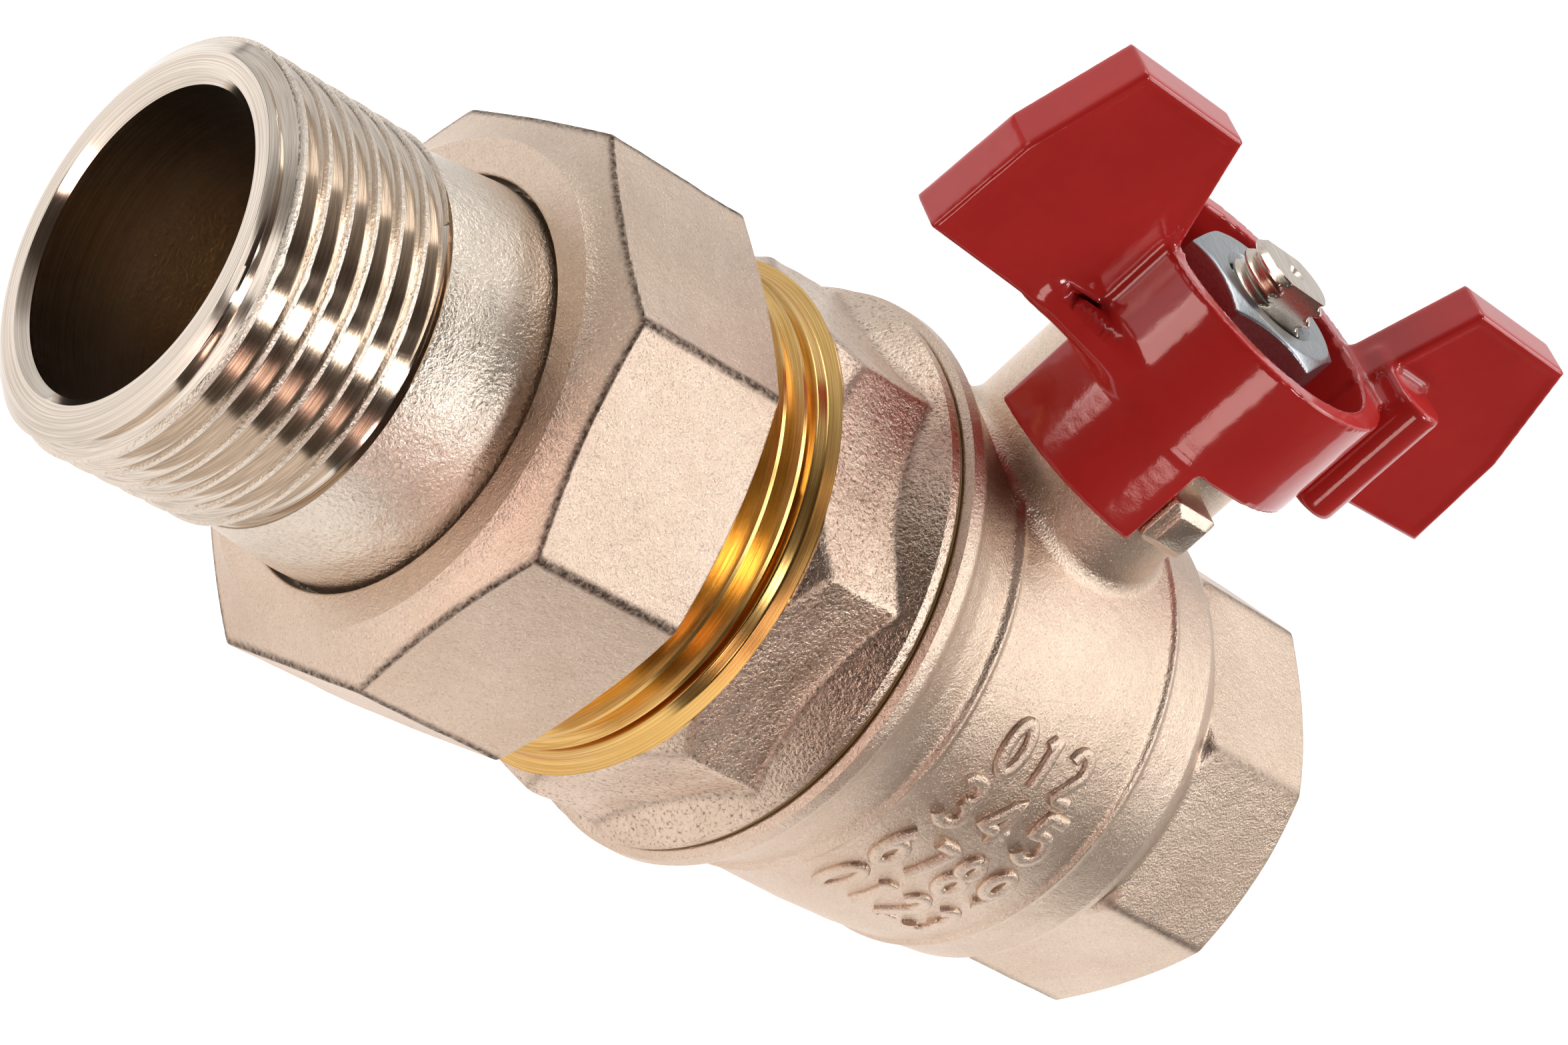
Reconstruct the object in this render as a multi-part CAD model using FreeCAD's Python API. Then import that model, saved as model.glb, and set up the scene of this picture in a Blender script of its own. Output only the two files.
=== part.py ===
import FreeCAD, Part
import math
import os

V = FreeCAD.Vector

# ---------------------------------------------------------------- driving dimensions (mm)
# Stations along the pipe are counted from the ball's centre, + towards the outlet.

# pipe threads, drawn as plain cylinders at the crests (male) and at the roots' bore (female)
pipe_thread_r = 16.62           # 1 inch pipe thread, crest radius
pipe_thread_bore_r = 15.15      # the same thread's bore radius in the outlet
union_thread_r = 20.95          # 1 1/4 inch union thread, crest radius
flow_r = 12.5                   # clear waterway, full bore

# running and assembly clearances
thread_clearance = 0.05
running_clearance = 0.05
slip_clearance = 0.35
seal_clearance = 0.10

# ball and seats
ball_r = 18.5
ball_slot_depth = 4.9
ball_gap = 1.0                  # ball to the cavity around it
seat_inner_r = 13.0
seat_outer_r = 17.6
seat_lip = 2.3                  # seat in front of the line where its bore meets the ball
seat_wall = 2.2                 # seat behind that line
seat_gap = 1.9                  # seat's rim to the cavity around it
seat_step = 0.4                 # cavity's end to the seat's front edge

# body
outlet_reach = 34.0             # ball centre to outlet face
outlet_flats = 38.2             # octagon across flats
outlet_thread_length = 14.6
outlet_relief_r = 17.0
outlet_relief_length = 2.0
outlet_corner_turn = 20.0       # slope of the turned outlet corners, degrees from the face
shoulder_x = 17.7               # where the barrel turns in towards the octagon
shoulder_drop = 0.7             # barrel's band to the shoulder
shoulder_length = 2.9
barrel_wall = 2.8               # around the cavity, at the band between the two ridges
thread_wall = 1.35              # around the union thread, at the same band
band_swell = 0.25
ridge_out_x = 11.8
ridge_mid_x = -8.0
ridge_in_x = -15.9
ridge_height = 0.45
ridge_half_width = 0.8
ridge_in_rise = 0.6
body_face_x = -17.3             # end face towards the connector
body_end_wall = 3.5             # around the union thread

# neck, lug and gland
neck_r = 10.3
neck_stand = 10.7               # barrel's band to the neck's top
gland_pocket_depth = 6.0
gland_bore_r = 8.6
collar_bore_r = 8.2
collar_roof = 2.5               # cavity to the roof of the stem collar's bore
lug_width = 4.8
lug_height = 4.4
lug_centre_x = -0.65
lug_drop = 3.8                  # neck's top to the lug's middle
lug_reach = 14.2
lug_chamfer = 0.7

# connector
joint_seal_t = 0.4
joint_seal_inset = 0.25         # seal's edge inside the flange's edge
connector_wall = 0.75           # union thread to the octagon's flats
connector_corner_turn = 35.0    # degrees, turn of the octagon about the pipe
connector_flange_t = 1.1
connector_flange_slope = 46.0
connector_front_x = -29.4
connector_front_rise = 1.55     # front corner above the union thread
connector_corner_x = -27.4
connector_shoulder_x = -31.6
connector_shoulder_rise = 0.35
connector_nose_x = -47.5
spigot_gap = 1.3                # spigot's end to the stem collar's bore
spigot_thread_runout = 0.8

# union nut
nut_wall = 2.0                  # union thread to the octagon's flats
nut_corner_turn = 13.4
nut_length = 17.35
nut_face_drop = 3.35            # flats to the edge of the flat front face
nut_front_cut = 2.45            # length of the turned front corners
nut_back_cut = 0.85
nut_lip_t = 3.2

# tail
inlet_reach = 80.7              # ball centre to inlet face
inlet_face_r = 14.8
inlet_chamfer = 1.1
inlet_bore_chamfer = 0.8
inlet_thread_length = 15.5
runout_r = 15.3
runout_length = 0.9
tail_neck_start_r = 15.9
tail_collar_gap = 2.05          # collar's rim to the union thread
tail_collar_step = 1.6          # collar's rim over the nut's bore
tail_collar_t = 2.6
gasket_t = 1.7
gasket_inner_r = 13.4
gasket_outer_r = 18.4

# stem
stem_r = 6.0
stem_collar_r = 8.0
stem_collar_t = 2.2
thrust_washer_t = 0.75
tang_thickness = 5.0
tang_half_length = 6.5
stem_thread_r = 4.0
stem_flats = 5.6
stem_stand = 2.9                # stem above the handle nut
stem_tip_chamfer = 0.4
dimple_r = 0.9
dimple_depth = 0.6
o_ring_section = 1.5
o_ring_groove_width = 1.7
o_ring_start = 1.4              # collar bore's roof to the lower ring's middle
o_ring_pitch = 2.3
packing_t = 1.2
gland_ring_t = 0.6
gland_nut_stand = 0.2
gland_socket_flats = 13.8
gland_socket_depth = 1.4

# handle
hub_r = 13.5
hub_gap = 0.9                   # neck's top to the hub
hub_height = 10.4
hub_wall = 1.9
hub_floor_t = 3.1
skirt_drop = 8.0
skirt_wall = 1.9
wing_thickness = 4.2
wing_height = 20.7              # from the hub's underside, as the heights below
wing_top_inner_x = 15.9
wing_top_outer_x = 27.7
wing_shoulder_x = 30.7
wing_shoulder_height = 10.7
wing_tip_x = 31.35
wing_tip_height = 0.9
wing_root_height = 0.4
rib_x = 15.4
rib_r = 2.5
rib_reach = 7.4
rib_height = 12.7
gusset_x = 19.5
gusset_y = 8.0
gusset_t = 2.1
washer_t = 1.4
washer_outer_r = 6.9
handle_nut_flats = 14.0
handle_nut_turn = 40.0          # one corner's angle about +Z from +X, degrees
handle_nut_height = 6.5
handle_nut_chamfer = 26.0

# ---------------------------------------------------------------- sizes that follow from those above
# ball chamber
cavity_r = max(ball_r + ball_gap, seat_outer_r + seat_gap)
seat_line = math.sqrt((ball_r + running_clearance) ** 2 - seat_inner_r ** 2)
seat_front = seat_line - seat_lip
seat_back = seat_line + seat_wall
cavity_end = seat_front - seat_step
ball_slot_floor = ball_r - ball_slot_depth

# body and connector
band_r = max(cavity_r + barrel_wall, union_thread_r + thread_wall)
shoulder_r = band_r - shoulder_drop
body_face_r = union_thread_r + body_end_wall
ridge_in_r = body_face_r + ridge_in_rise
connector_inner_end = -(collar_bore_r + spigot_gap)
cavity_start = connector_inner_end + spigot_thread_runout
joint_seal_inner_r = union_thread_r + slip_clearance
joint_seal_outer_r = body_face_r - joint_seal_inset
connector_flats = 2 * (union_thread_r + connector_wall)
connector_flange_r = body_face_r
connector_front_r = union_thread_r + connector_front_rise
connector_shoulder_r = union_thread_r + connector_shoulder_rise

# nut and tail, stacked from the connector's nose
tail_collar_r = union_thread_r - tail_collar_gap
nut_bore_r = tail_collar_r - tail_collar_step
nut_flats = 2 * (union_thread_r + nut_wall)
tail_collar_back = connector_nose_x - gasket_t
tail_collar_front = tail_collar_back - tail_collar_t
nut_inner_face = tail_collar_front - running_clearance
nut_face_x = nut_inner_face - nut_lip_t
nut_face_r = nut_flats / 2 - nut_face_drop
nut_corner_front_x = nut_face_x + nut_front_cut
nut_back_x = nut_face_x + nut_length
nut_corner_back_x = nut_back_x - nut_back_cut
pipe_thread_end = -inlet_reach + inlet_thread_length

# stem and gland, from the cavity's roof up to the neck's top
collar_bore_top = cavity_r + collar_roof
stem_collar_top = collar_bore_top - running_clearance - thrust_washer_t
stem_collar_bottom = stem_collar_top - stem_collar_t
o_ring_groove_r = stem_r - seal_clearance - o_ring_section
o_ring_lower_z = collar_bore_top + o_ring_start
o_ring_upper_z = o_ring_lower_z + o_ring_pitch
neck_top = band_r + neck_stand
neck_bore_top = neck_top - gland_pocket_depth
lug_centre_z = neck_top - lug_drop
gland_nut_top = neck_top + gland_nut_stand

# handle, from the neck's top
hub_bottom = neck_top + hub_gap
hub_top = hub_bottom + hub_height
skirt_bottom = hub_bottom - skirt_drop
wing_top = hub_bottom + wing_height
wing_shoulder_z = hub_bottom + wing_shoulder_height
wing_tip_z = hub_bottom + wing_tip_height
wing_root_z = hub_bottom + wing_root_height
rib_top = hub_bottom + rib_height
stem_top = hub_bottom + hub_floor_t + washer_t + handle_nut_height + stem_stand

# ---------------------------------------------------------------- helpers
OCTAGON = 8
HEXAGON = 6
X_AXIS = V(1, 0, 0)
Z_AXIS = V(0, 0, 1)


def turned_x(points):
    """Solid of revolution about the pipe axis from (station, radius) points."""
    loop = [V(x, 0, r) for x, r in points]
    face = Part.Face(Part.makePolygon(loop + [loop[0]]))
    return face.revolve(V(0, 0, 0), X_AXIS, 360)


def turned_z(points):
    """Solid of revolution about the stem axis from (height, radius) points."""
    loop = [V(r, 0, z) for z, r in points]
    face = Part.Face(Part.makePolygon(loop + [loop[0]]))
    return face.revolve(V(0, 0, 0), Z_AXIS, 360)


def rod_x(r, x0, x1):
    return Part.makeCylinder(r, x1 - x0, V(x0, 0, 0), X_AXIS)


def tube_x(r_in, r_out, x0, x1):
    return rod_x(r_out, x0, x1).cut(rod_x(r_in, x0 - 1, x1 + 1))


def rod_z(r, z0, z1):
    return Part.makeCylinder(r, z1 - z0, V(0, 0, z0), Z_AXIS)


def tube_z(r_in, r_out, z0, z1):
    return rod_z(r_out, z0, z1).cut(rod_z(r_in, z0 - 1, z1 + 1))


def box(x0, x1, y0, y1, z0, z1):
    return Part.makeBox(x1 - x0, y1 - y0, z1 - z0, V(x0, y0, z0))


def corner_radius(flats, sides):
    return flats / 2 / math.cos(math.pi / sides)


def prism_x(flats, sides, turn, x0, x1):
    """Prism along the pipe; turn is the angle of one corner from -Y towards +Z, in degrees."""
    r = corner_radius(flats, sides)
    step = 2 * math.pi / sides
    start = math.radians(turn)
    loop = [V(x0, -r * math.cos(start + i * step), r * math.sin(start + i * step)) for i in range(sides)]
    face = Part.Face(Part.makePolygon(loop + [loop[0]]))
    return face.extrude(V(x1 - x0, 0, 0))


def prism_z(flats, sides, turn, z0, z1):
    """Prism about the stem; turn is the angle of one corner from +X, in degrees."""
    r = corner_radius(flats, sides)
    step = 2 * math.pi / sides
    start = math.radians(turn)
    loop = [V(r * math.cos(start + i * step), r * math.sin(start + i * step), z0) for i in range(sides)]
    face = Part.Face(Part.makePolygon(loop + [loop[0]]))
    return face.extrude(V(0, 0, z1 - z0))


def plate_y(points, y0, y1):
    """Plate between two planes across the pipe from an (x, z) outline."""
    loop = [V(x, y0, z) for x, z in points]
    face = Part.Face(Part.makePolygon(loop + [loop[0]]))
    return face.extrude(V(0, y1 - y0, 0))


def flatted(solid, flats, z0, z1):
    """A round stem cut to two flats that face -Y and +Y."""
    return solid.common(box(-50, 50, -flats / 2, flats / 2, z0, z1))


# ---------------------------------------------------------------- body
def ridge(x, r):
    """Points of one narrow raised ring on the barrel."""
    return [(x - ridge_half_width, r), (x - ridge_half_width / 3, r + ridge_height),
            (x + ridge_half_width / 3, r + ridge_height), (x + ridge_half_width, r)]


def barrel():
    flank_r = ridge_in_r - 0.8
    outline = [(body_face_x, 0), (body_face_x, body_face_r), (ridge_in_x - 0.5, ridge_in_r),
               (ridge_in_x + 0.4, ridge_in_r), (ridge_in_x + 1.2, flank_r)]
    outline += ridge(ridge_mid_x, band_r)
    outline += [(ridge_mid_x + 4, band_r + band_swell * 0.7), (1.9, band_r + band_swell),
                (ridge_out_x - 4, band_r + band_swell * 0.7)]
    outline += ridge(ridge_out_x, band_r - 0.2)
    outline += [(shoulder_x, shoulder_r), (shoulder_x + shoulder_length, shoulder_r - 0.4),
                (shoulder_x + shoulder_length + 2.8, outlet_flats / 2 - 0.6),
                (shoulder_x + shoulder_length + 2.8, 0)]
    return turned_x(outline)


def outlet_end():
    corner_r = corner_radius(outlet_flats, OCTAGON)
    drop = (corner_r - outlet_flats / 2 + 0.6) * math.tan(math.radians(outlet_corner_turn))
    prism = prism_x(outlet_flats, OCTAGON, 0, shoulder_x, outlet_reach)
    turned = turned_x([(shoulder_x, 0), (shoulder_x, corner_r + 1), (outlet_reach - drop, corner_r + 0.01),
                       (outlet_reach, outlet_flats / 2 - 0.6), (outlet_reach, 0)])
    return prism.common(turned)


def stop_lug():
    half = lug_width / 2
    low = lug_centre_z - lug_height / 2
    bar = box(lug_centre_x - half, lug_centre_x + half, -lug_reach, -neck_r + 3, low, low + lug_height)
    end = [e for e in bar.Edges if all(abs(v.Point.y + lug_reach) < 1e-6 for v in e.Vertexes)]
    return bar.makeChamfer(lug_chamfer, end)


def body():
    solid = barrel().fuse(outlet_end())
    solid = solid.fuse(rod_z(neck_r, cavity_r - 4, neck_top))
    solid = solid.fuse(stop_lug())
    solid = solid.cut(rod_x(cavity_r, cavity_start, cavity_end))
    solid = solid.cut(rod_x(union_thread_r, body_face_x - 1, cavity_start + 0.1))
    solid = solid.cut(rod_x(seat_outer_r + running_clearance, cavity_end - 1, seat_back))
    solid = solid.cut(rod_x(flow_r, seat_back - 1, outlet_reach + 1))
    thread_start = outlet_reach - outlet_thread_length
    solid = solid.cut(rod_x(pipe_thread_bore_r, thread_start, outlet_reach + 1))
    solid = solid.cut(rod_x(outlet_relief_r, thread_start - outlet_relief_length, thread_start))
    solid = solid.cut(rod_z(stem_r + running_clearance, 0, neck_top + 1))
    solid = solid.cut(rod_z(collar_bore_r, 0, collar_bore_top))
    solid = solid.cut(rod_z(gland_bore_r, neck_bore_top, neck_top + 1))
    return solid.removeSplitter()


# ---------------------------------------------------------------- connector, nut and tail
def end_connector():
    back = body_face_x - joint_seal_t
    corner_r = corner_radius(connector_flats, OCTAGON)
    prism = prism_x(connector_flats, OCTAGON, connector_corner_turn, connector_front_x, back)
    turned = turned_x([(connector_front_x, 0), (connector_front_x, connector_front_r),
                       (connector_corner_x, corner_r + 0.01), (back, corner_r + 0.01), (back, 0)])
    fall = connector_flange_r - connector_flats / 2 + 0.8
    foot = back - connector_flange_t - fall / math.tan(math.radians(connector_flange_slope))
    flange = turned_x([(foot, 0), (foot, connector_flange_r - fall),
                       (back - connector_flange_t, connector_flange_r - 0.1),
                       (back - connector_flange_t + 0.2, connector_flange_r),
                       (back, connector_flange_r), (back, 0)])
    nose = turned_x([(connector_nose_x, 0), (connector_nose_x, union_thread_r - 0.8),
                     (connector_nose_x + 0.8, union_thread_r), (connector_shoulder_x, union_thread_r),
                     (connector_shoulder_x, connector_shoulder_r), (connector_front_x, connector_front_r),
                     (connector_front_x, 0)])
    spigot = rod_x(union_thread_r - thread_clearance, back, connector_inner_end)
    solid = prism.common(turned).fuse([flange, nose, spigot])
    solid = solid.cut(rod_x(flow_r, connector_nose_x - 1, 0))
    solid = solid.cut(rod_x(seat_outer_r + running_clearance, -seat_back, 0))
    return solid.removeSplitter()


def union_nut():
    corner_r = corner_radius(nut_flats, OCTAGON)
    flat_r = nut_flats / 2
    prism = prism_x(nut_flats, OCTAGON, nut_corner_turn, nut_face_x, nut_back_x)
    turned = turned_x([(nut_face_x, 0), (nut_face_x, nut_face_r), (nut_corner_front_x, corner_r + 0.01),
                       (nut_corner_back_x, corner_r + 0.01), (nut_back_x, flat_r - 0.1), (nut_back_x, 0)])
    solid = prism.common(turned)
    solid = solid.cut(rod_x(nut_bore_r, nut_face_x - 1, nut_inner_face + 1))
    return solid.cut(rod_x(union_thread_r + thread_clearance, nut_inner_face, nut_back_x + 1))


def tail_piece():
    neck_r_end = nut_bore_r - slip_clearance
    runout_end = pipe_thread_end + runout_length
    span = tail_collar_front - runout_end
    rise = neck_r_end - tail_neck_start_r
    swell = [(runout_end + span * t, tail_neck_start_r + rise * math.sin(math.pi / 2 * t)) for t in
             (0.0, 0.15, 0.3, 0.45, 0.6, 0.8)]
    outline = [(-inlet_reach, flow_r + inlet_bore_chamfer), (-inlet_reach, inlet_face_r),
               (-inlet_reach + inlet_chamfer, pipe_thread_r), (pipe_thread_end, pipe_thread_r),
               (pipe_thread_end, runout_r), (runout_end, runout_r)]
    outline += swell
    outline += [(tail_collar_front, neck_r_end), (tail_collar_front, tail_collar_r),
                (tail_collar_back, tail_collar_r), (tail_collar_back, flow_r),
                (-inlet_reach + inlet_bore_chamfer, flow_r)]
    return turned_x(outline)


def union_gasket():
    return tube_x(gasket_inner_r, gasket_outer_r, tail_collar_back, connector_nose_x)


def joint_seal():
    return tube_x(joint_seal_inner_r, joint_seal_outer_r, body_face_x - joint_seal_t, body_face_x)


# ---------------------------------------------------------------- ball and seats
def ball():
    solid = Part.makeSphere(ball_r)
    solid = solid.cut(rod_x(flow_r, -ball_r - 1, ball_r + 1))
    half = tang_thickness / 2 + running_clearance
    reach = tang_half_length + running_clearance
    return solid.cut(box(-half, half, -reach, reach, ball_slot_floor, ball_r + 1))


def seat_ring(side):
    ring = tube_x(seat_inner_r, seat_outer_r, seat_front, seat_back)
    ring = ring.cut(Part.makeSphere(ball_r + running_clearance))
    if side < 0:
        ring = ring.mirror(V(0, 0, 0), X_AXIS)
    return ring


# ---------------------------------------------------------------- stem group
def stem():
    half = tang_thickness / 2
    tang = box(-half, half, -tang_half_length, tang_half_length, ball_slot_floor + 0.2,
               stem_collar_bottom + 0.5)
    solid = rod_z(stem_collar_r, stem_collar_bottom, stem_collar_top)
    solid = solid.fuse(rod_z(stem_r, stem_collar_top - 0.5, hub_bottom))
    solid = solid.fuse(tang.common(rod_z(stem_collar_r, 0, stem_collar_top)))
    tip = turned_z([(hub_bottom - 1, 0), (hub_bottom - 1, stem_thread_r),
                    (stem_top - stem_tip_chamfer, stem_thread_r),
                    (stem_top, stem_thread_r - stem_tip_chamfer), (stem_top, 0)])
    solid = solid.fuse(flatted(tip, stem_flats, hub_bottom - 1, stem_top))
    for z in (o_ring_lower_z, o_ring_upper_z):
        low = z - o_ring_groove_width / 2
        solid = solid.cut(tube_z(o_ring_groove_r, stem_r + 1, low, low + o_ring_groove_width))
    dimple = Part.makeCone(0, dimple_r, dimple_depth, V(0, 0, stem_top - dimple_depth), Z_AXIS)
    return solid.cut(dimple).removeSplitter()


def o_ring(z):
    r = o_ring_section / 2
    centre = stem_r + running_clearance - seal_clearance - r
    return Part.makeTorus(centre, r, V(0, 0, z), Z_AXIS)


def thrust_washer():
    low = stem_collar_top
    return tube_z(stem_r + seal_clearance, stem_collar_r, low, low + thrust_washer_t)


def packing_ring(number):
    low = neck_bore_top + number * packing_t
    return tube_z(stem_r + running_clearance, gland_bore_r - running_clearance, low, low + packing_t)


def gland_ring():
    low = neck_bore_top + 2 * packing_t
    return tube_z(stem_r + seal_clearance, gland_bore_r - seal_clearance, low, low + gland_ring_t)


def gland_nut():
    low = neck_bore_top + 2 * packing_t + gland_ring_t
    solid = tube_z(stem_r + running_clearance, gland_bore_r - thread_clearance, low, gland_nut_top)
    socket = prism_z(gland_socket_flats, HEXAGON, 0, gland_nut_top - gland_socket_depth, gland_nut_top + 1)
    return solid.cut(socket)


# ---------------------------------------------------------------- handle group
def wing():
    """Upright wing on the +X side; the other one is its half turn."""
    half = wing_thickness / 2
    outline = [(hub_r - hub_wall, hub_bottom), (hub_r + 1, hub_bottom), (wing_tip_x - 10, wing_root_z),
               (wing_tip_x, wing_tip_z), (wing_shoulder_x, wing_shoulder_z), (wing_top_outer_x, wing_top),
               (wing_top_inner_x, wing_top), (hub_r - 1.3, hub_top), (hub_r - hub_wall, hub_top)]
    plate = plate_y(outline, -half, half)
    rib = Part.makeCylinder(rib_r, rib_top - hub_bottom, V(rib_x, -rib_reach + rib_r, hub_bottom), Z_AXIS)
    rib = rib.fuse(box(rib_x - rib_r, rib_x + rib_r, -rib_reach + rib_r, 0, hub_bottom, rib_top))
    corners = [V(gusset_x, half - 0.5, hub_bottom), V(hub_r - hub_wall, half - 0.5, hub_bottom),
               V(hub_r * 0.78, gusset_y, hub_bottom)]
    gusset = Part.Face(Part.makePolygon(corners + [corners[0]])).extrude(V(0, 0, gusset_t))
    return plate.fuse([rib, gusset])


def skirt():
    """Two tabs below the hub, half a turn apart: one meets the stop lug when open, the other when closed."""
    lug_left = lug_centre_x - lug_width / 2 - running_clearance
    lug_right = lug_centre_x + lug_width / 2 + running_clearance
    ring = tube_z(hub_r - skirt_wall, hub_r, skirt_bottom, hub_bottom + 0.5)
    tab = ring.common(box(-hub_r - 1, lug_left, -hub_r - 1, -lug_right, skirt_bottom, hub_bottom + 0.5))
    opposite = tab.copy()
    opposite.rotate(V(0, 0, 0), Z_AXIS, 180)
    return tab.fuse(opposite)


def handle():
    solid = rod_z(hub_r, hub_bottom, hub_top)
    one = wing()
    other = one.copy()
    other.rotate(V(0, 0, 0), Z_AXIS, 180)
    solid = solid.fuse([one, other, skirt()])
    solid = solid.cut(rod_z(hub_r - hub_wall, hub_bottom + hub_floor_t, hub_top + 1))
    hole = rod_z(stem_thread_r + running_clearance, hub_bottom - 1, hub_top)
    hole = flatted(hole, stem_flats + 2 * running_clearance, hub_bottom - 1, hub_top)
    return solid.cut(hole).removeSplitter()


def spring_washer():
    low = hub_bottom + hub_floor_t
    ring = tube_z(stem_thread_r + seal_clearance, washer_outer_r, low, low + washer_t)
    split = box(0, washer_outer_r + 1, -0.6, 0.6, low - 1, low + washer_t + 1)
    split.rotate(V(0, 0, 0), Z_AXIS, 205)
    return ring.cut(split)


def handle_nut():
    low = hub_bottom + hub_floor_t + washer_t
    high = low + handle_nut_height
    corner_r = corner_radius(handle_nut_flats, HEXAGON)
    flat_r = handle_nut_flats / 2
    drop = (corner_r - flat_r + 0.3) * math.tan(math.radians(handle_nut_chamfer))
    prism = prism_z(handle_nut_flats, HEXAGON, handle_nut_turn, low, high)
    turned = turned_z([(low, 0), (low, flat_r - 0.3), (low + drop, corner_r + 0.01),
                       (high - drop, corner_r + 0.01), (high, flat_r - 0.3), (high, 0)])
    nut = prism.common(turned)
    return nut.cut(rod_z(stem_thread_r + running_clearance, low - 1, high + 1))


# ---------------------------------------------------------------- build and save
NODES = {
    "body": body(),
    "joint_seal": joint_seal(),
    "end_connector": end_connector(),
    "union_nut": union_nut(),
    "union_gasket": union_gasket(),
    "tail_piece": tail_piece(),
    "ball": ball(),
    "seat_ring_inlet": seat_ring(-1),
    "seat_ring_outlet": seat_ring(1),
    "stem": stem(),
    "stem_thrust_washer": thrust_washer(),
    "stem_o_ring_lower": o_ring(o_ring_lower_z),
    "stem_o_ring_upper": o_ring(o_ring_upper_z),
    "packing_ring_lower": packing_ring(0),
    "packing_ring_upper": packing_ring(1),
    "gland_ring": gland_ring(),
    "gland_nut": gland_nut(),
    "handle": handle(),
    "spring_washer": spring_washer(),
    "handle_nut": handle_nut(),
}

os.makedirs("parts", exist_ok=True)
for name, shape in NODES.items():
    shape.translate(V(-outlet_reach, 0, 0))
    solids = shape.Solids
    assert len(solids) == 1 and shape.isValid(), name
    solids[0].exportStep(f"parts/{name}.step")
    b = shape.BoundBox
    print(f"{name:20s} volume {shape.Volume:9.1f}  x {b.XMin:7.2f} {b.XMax:7.2f}"
          f"  y {b.YMin:7.2f} {b.YMax:7.2f}  z {b.ZMin:7.2f} {b.ZMax:7.2f}")
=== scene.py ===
# %% [markdown]
# A ball valve with a union end, drawn around its engineering model
#
# The engineering model gives every piece its true size, its place and the body that it moves with.
# This lesson keeps those places and builds finer surfaces over them: cut threads, forged octagons,
# a cast handle. Turned and threaded metal is a radius that depends on how far along the pipe and
# how far round it you are, so each piece is a formula worked out on a grid with numpy.

import bmesh
import bpy
import numpy as np
from mathutils import Matrix, Vector


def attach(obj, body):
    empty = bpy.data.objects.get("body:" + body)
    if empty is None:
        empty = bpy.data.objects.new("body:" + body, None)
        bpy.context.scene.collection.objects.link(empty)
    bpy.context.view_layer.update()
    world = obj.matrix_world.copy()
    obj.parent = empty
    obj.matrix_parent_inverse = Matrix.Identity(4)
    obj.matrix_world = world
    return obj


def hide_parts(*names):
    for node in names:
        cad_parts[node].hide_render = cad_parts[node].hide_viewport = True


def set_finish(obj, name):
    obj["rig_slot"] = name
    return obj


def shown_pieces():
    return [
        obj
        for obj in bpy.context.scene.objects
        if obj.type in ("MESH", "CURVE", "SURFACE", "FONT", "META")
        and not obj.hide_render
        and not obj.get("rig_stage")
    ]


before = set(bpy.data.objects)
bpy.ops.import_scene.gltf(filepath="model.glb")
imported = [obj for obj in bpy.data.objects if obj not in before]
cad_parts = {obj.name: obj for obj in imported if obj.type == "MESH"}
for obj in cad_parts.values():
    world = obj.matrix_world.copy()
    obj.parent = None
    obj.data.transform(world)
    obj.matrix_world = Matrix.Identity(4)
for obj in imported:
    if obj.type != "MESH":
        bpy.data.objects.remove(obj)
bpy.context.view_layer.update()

MM = 0.001
REACH = 34.0  # ball's centre to the outlet's end face, mm
TURN = 2 * np.pi

# %% [markdown]
# The camera
#
# The valve is seen from its inlet side and a little above, from close by, and the camera is rolled
# so that the pipe runs down across the picture. A viewing angle is easier to read than a matrix, so
# the camera is set by its angles and its distance from the point it looks at.

# %% Camera
LOOK_AT = Vector((-42.855, 9.562, 0.798)) * MM
AZIMUTH, ELEVATION, ROLL = np.radians((42.176, 20.865, 47.315))
DISTANCE = 354.85 * MM

sight = Vector((np.sin(AZIMUTH) * np.cos(ELEVATION), np.cos(AZIMUTH) * np.cos(ELEVATION),
                -np.sin(ELEVATION)))
level_right = sight.cross(Vector((0, 0, 1))).normalized()
level_up = level_right.cross(sight)
right = level_right * np.cos(ROLL) + level_up * np.sin(ROLL)
up = level_up * np.cos(ROLL) - level_right * np.sin(ROLL)


def add_object(name, data):
    """A new object that shows the data, linked into the scene."""
    thing = bpy.data.objects.new(name, data)
    bpy.context.scene.collection.objects.link(thing)
    return thing


camera = add_object("camera", bpy.data.cameras.new("camera"))
camera.matrix_world = (Matrix.Translation(LOOK_AT - sight * DISTANCE)
                       @ Matrix((right, up, -sight)).transposed().to_4x4())
camera.data.sensor_width = 36.0
camera.data.lens = 97.13
camera.data.clip_start = 0.01
bpy.context.scene.camera = camera
print("camera at", [round(v, 4) for v in camera.matrix_world.translation])

# %% [markdown]
# Points, grids and meshes
#
# Two sets of round coordinates are enough for the whole valve. Pieces on the pipe use the station x
# along it, a radius and an angle that starts towards the viewer's side and goes up. Pieces on the
# stem use a height, a radius and an angle from the outlet side. A surface is a grid of such points,
# its cells are cut into triangles, and points that fall together at a seam or a pole are joined.

# %% Coordinates and mesh helpers
def on_pipe(x, r, phi):
    """Points at station x and radius r, turned phi from -Y towards +Z, in metres in the row frame."""
    x, r, phi = np.broadcast_arrays(x, r, phi)
    return np.stack([x - REACH, -r * np.cos(phi), r * np.sin(phi)], -1) * MM


def on_stem(z, r, theta):
    """Points at height z and radius r, turned theta from +X towards +Y, in metres in the row frame."""
    z, r, theta = np.broadcast_arrays(z, r, theta)
    return np.stack([r * np.cos(theta) - REACH, r * np.sin(theta), z], -1) * MM


def grid_triangles(rows, cols):
    """Vertex numbers of the two triangles in each cell of a rows by cols grid."""
    corner = np.arange(rows - 1)[:, None] * cols + np.arange(cols - 1)
    a, b, c, d = corner, corner + 1, corner + cols + 1, corner + cols
    return np.concatenate([np.stack([a, b, c], -1), np.stack([a, c, d], -1)]).reshape(-1, 3)


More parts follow.
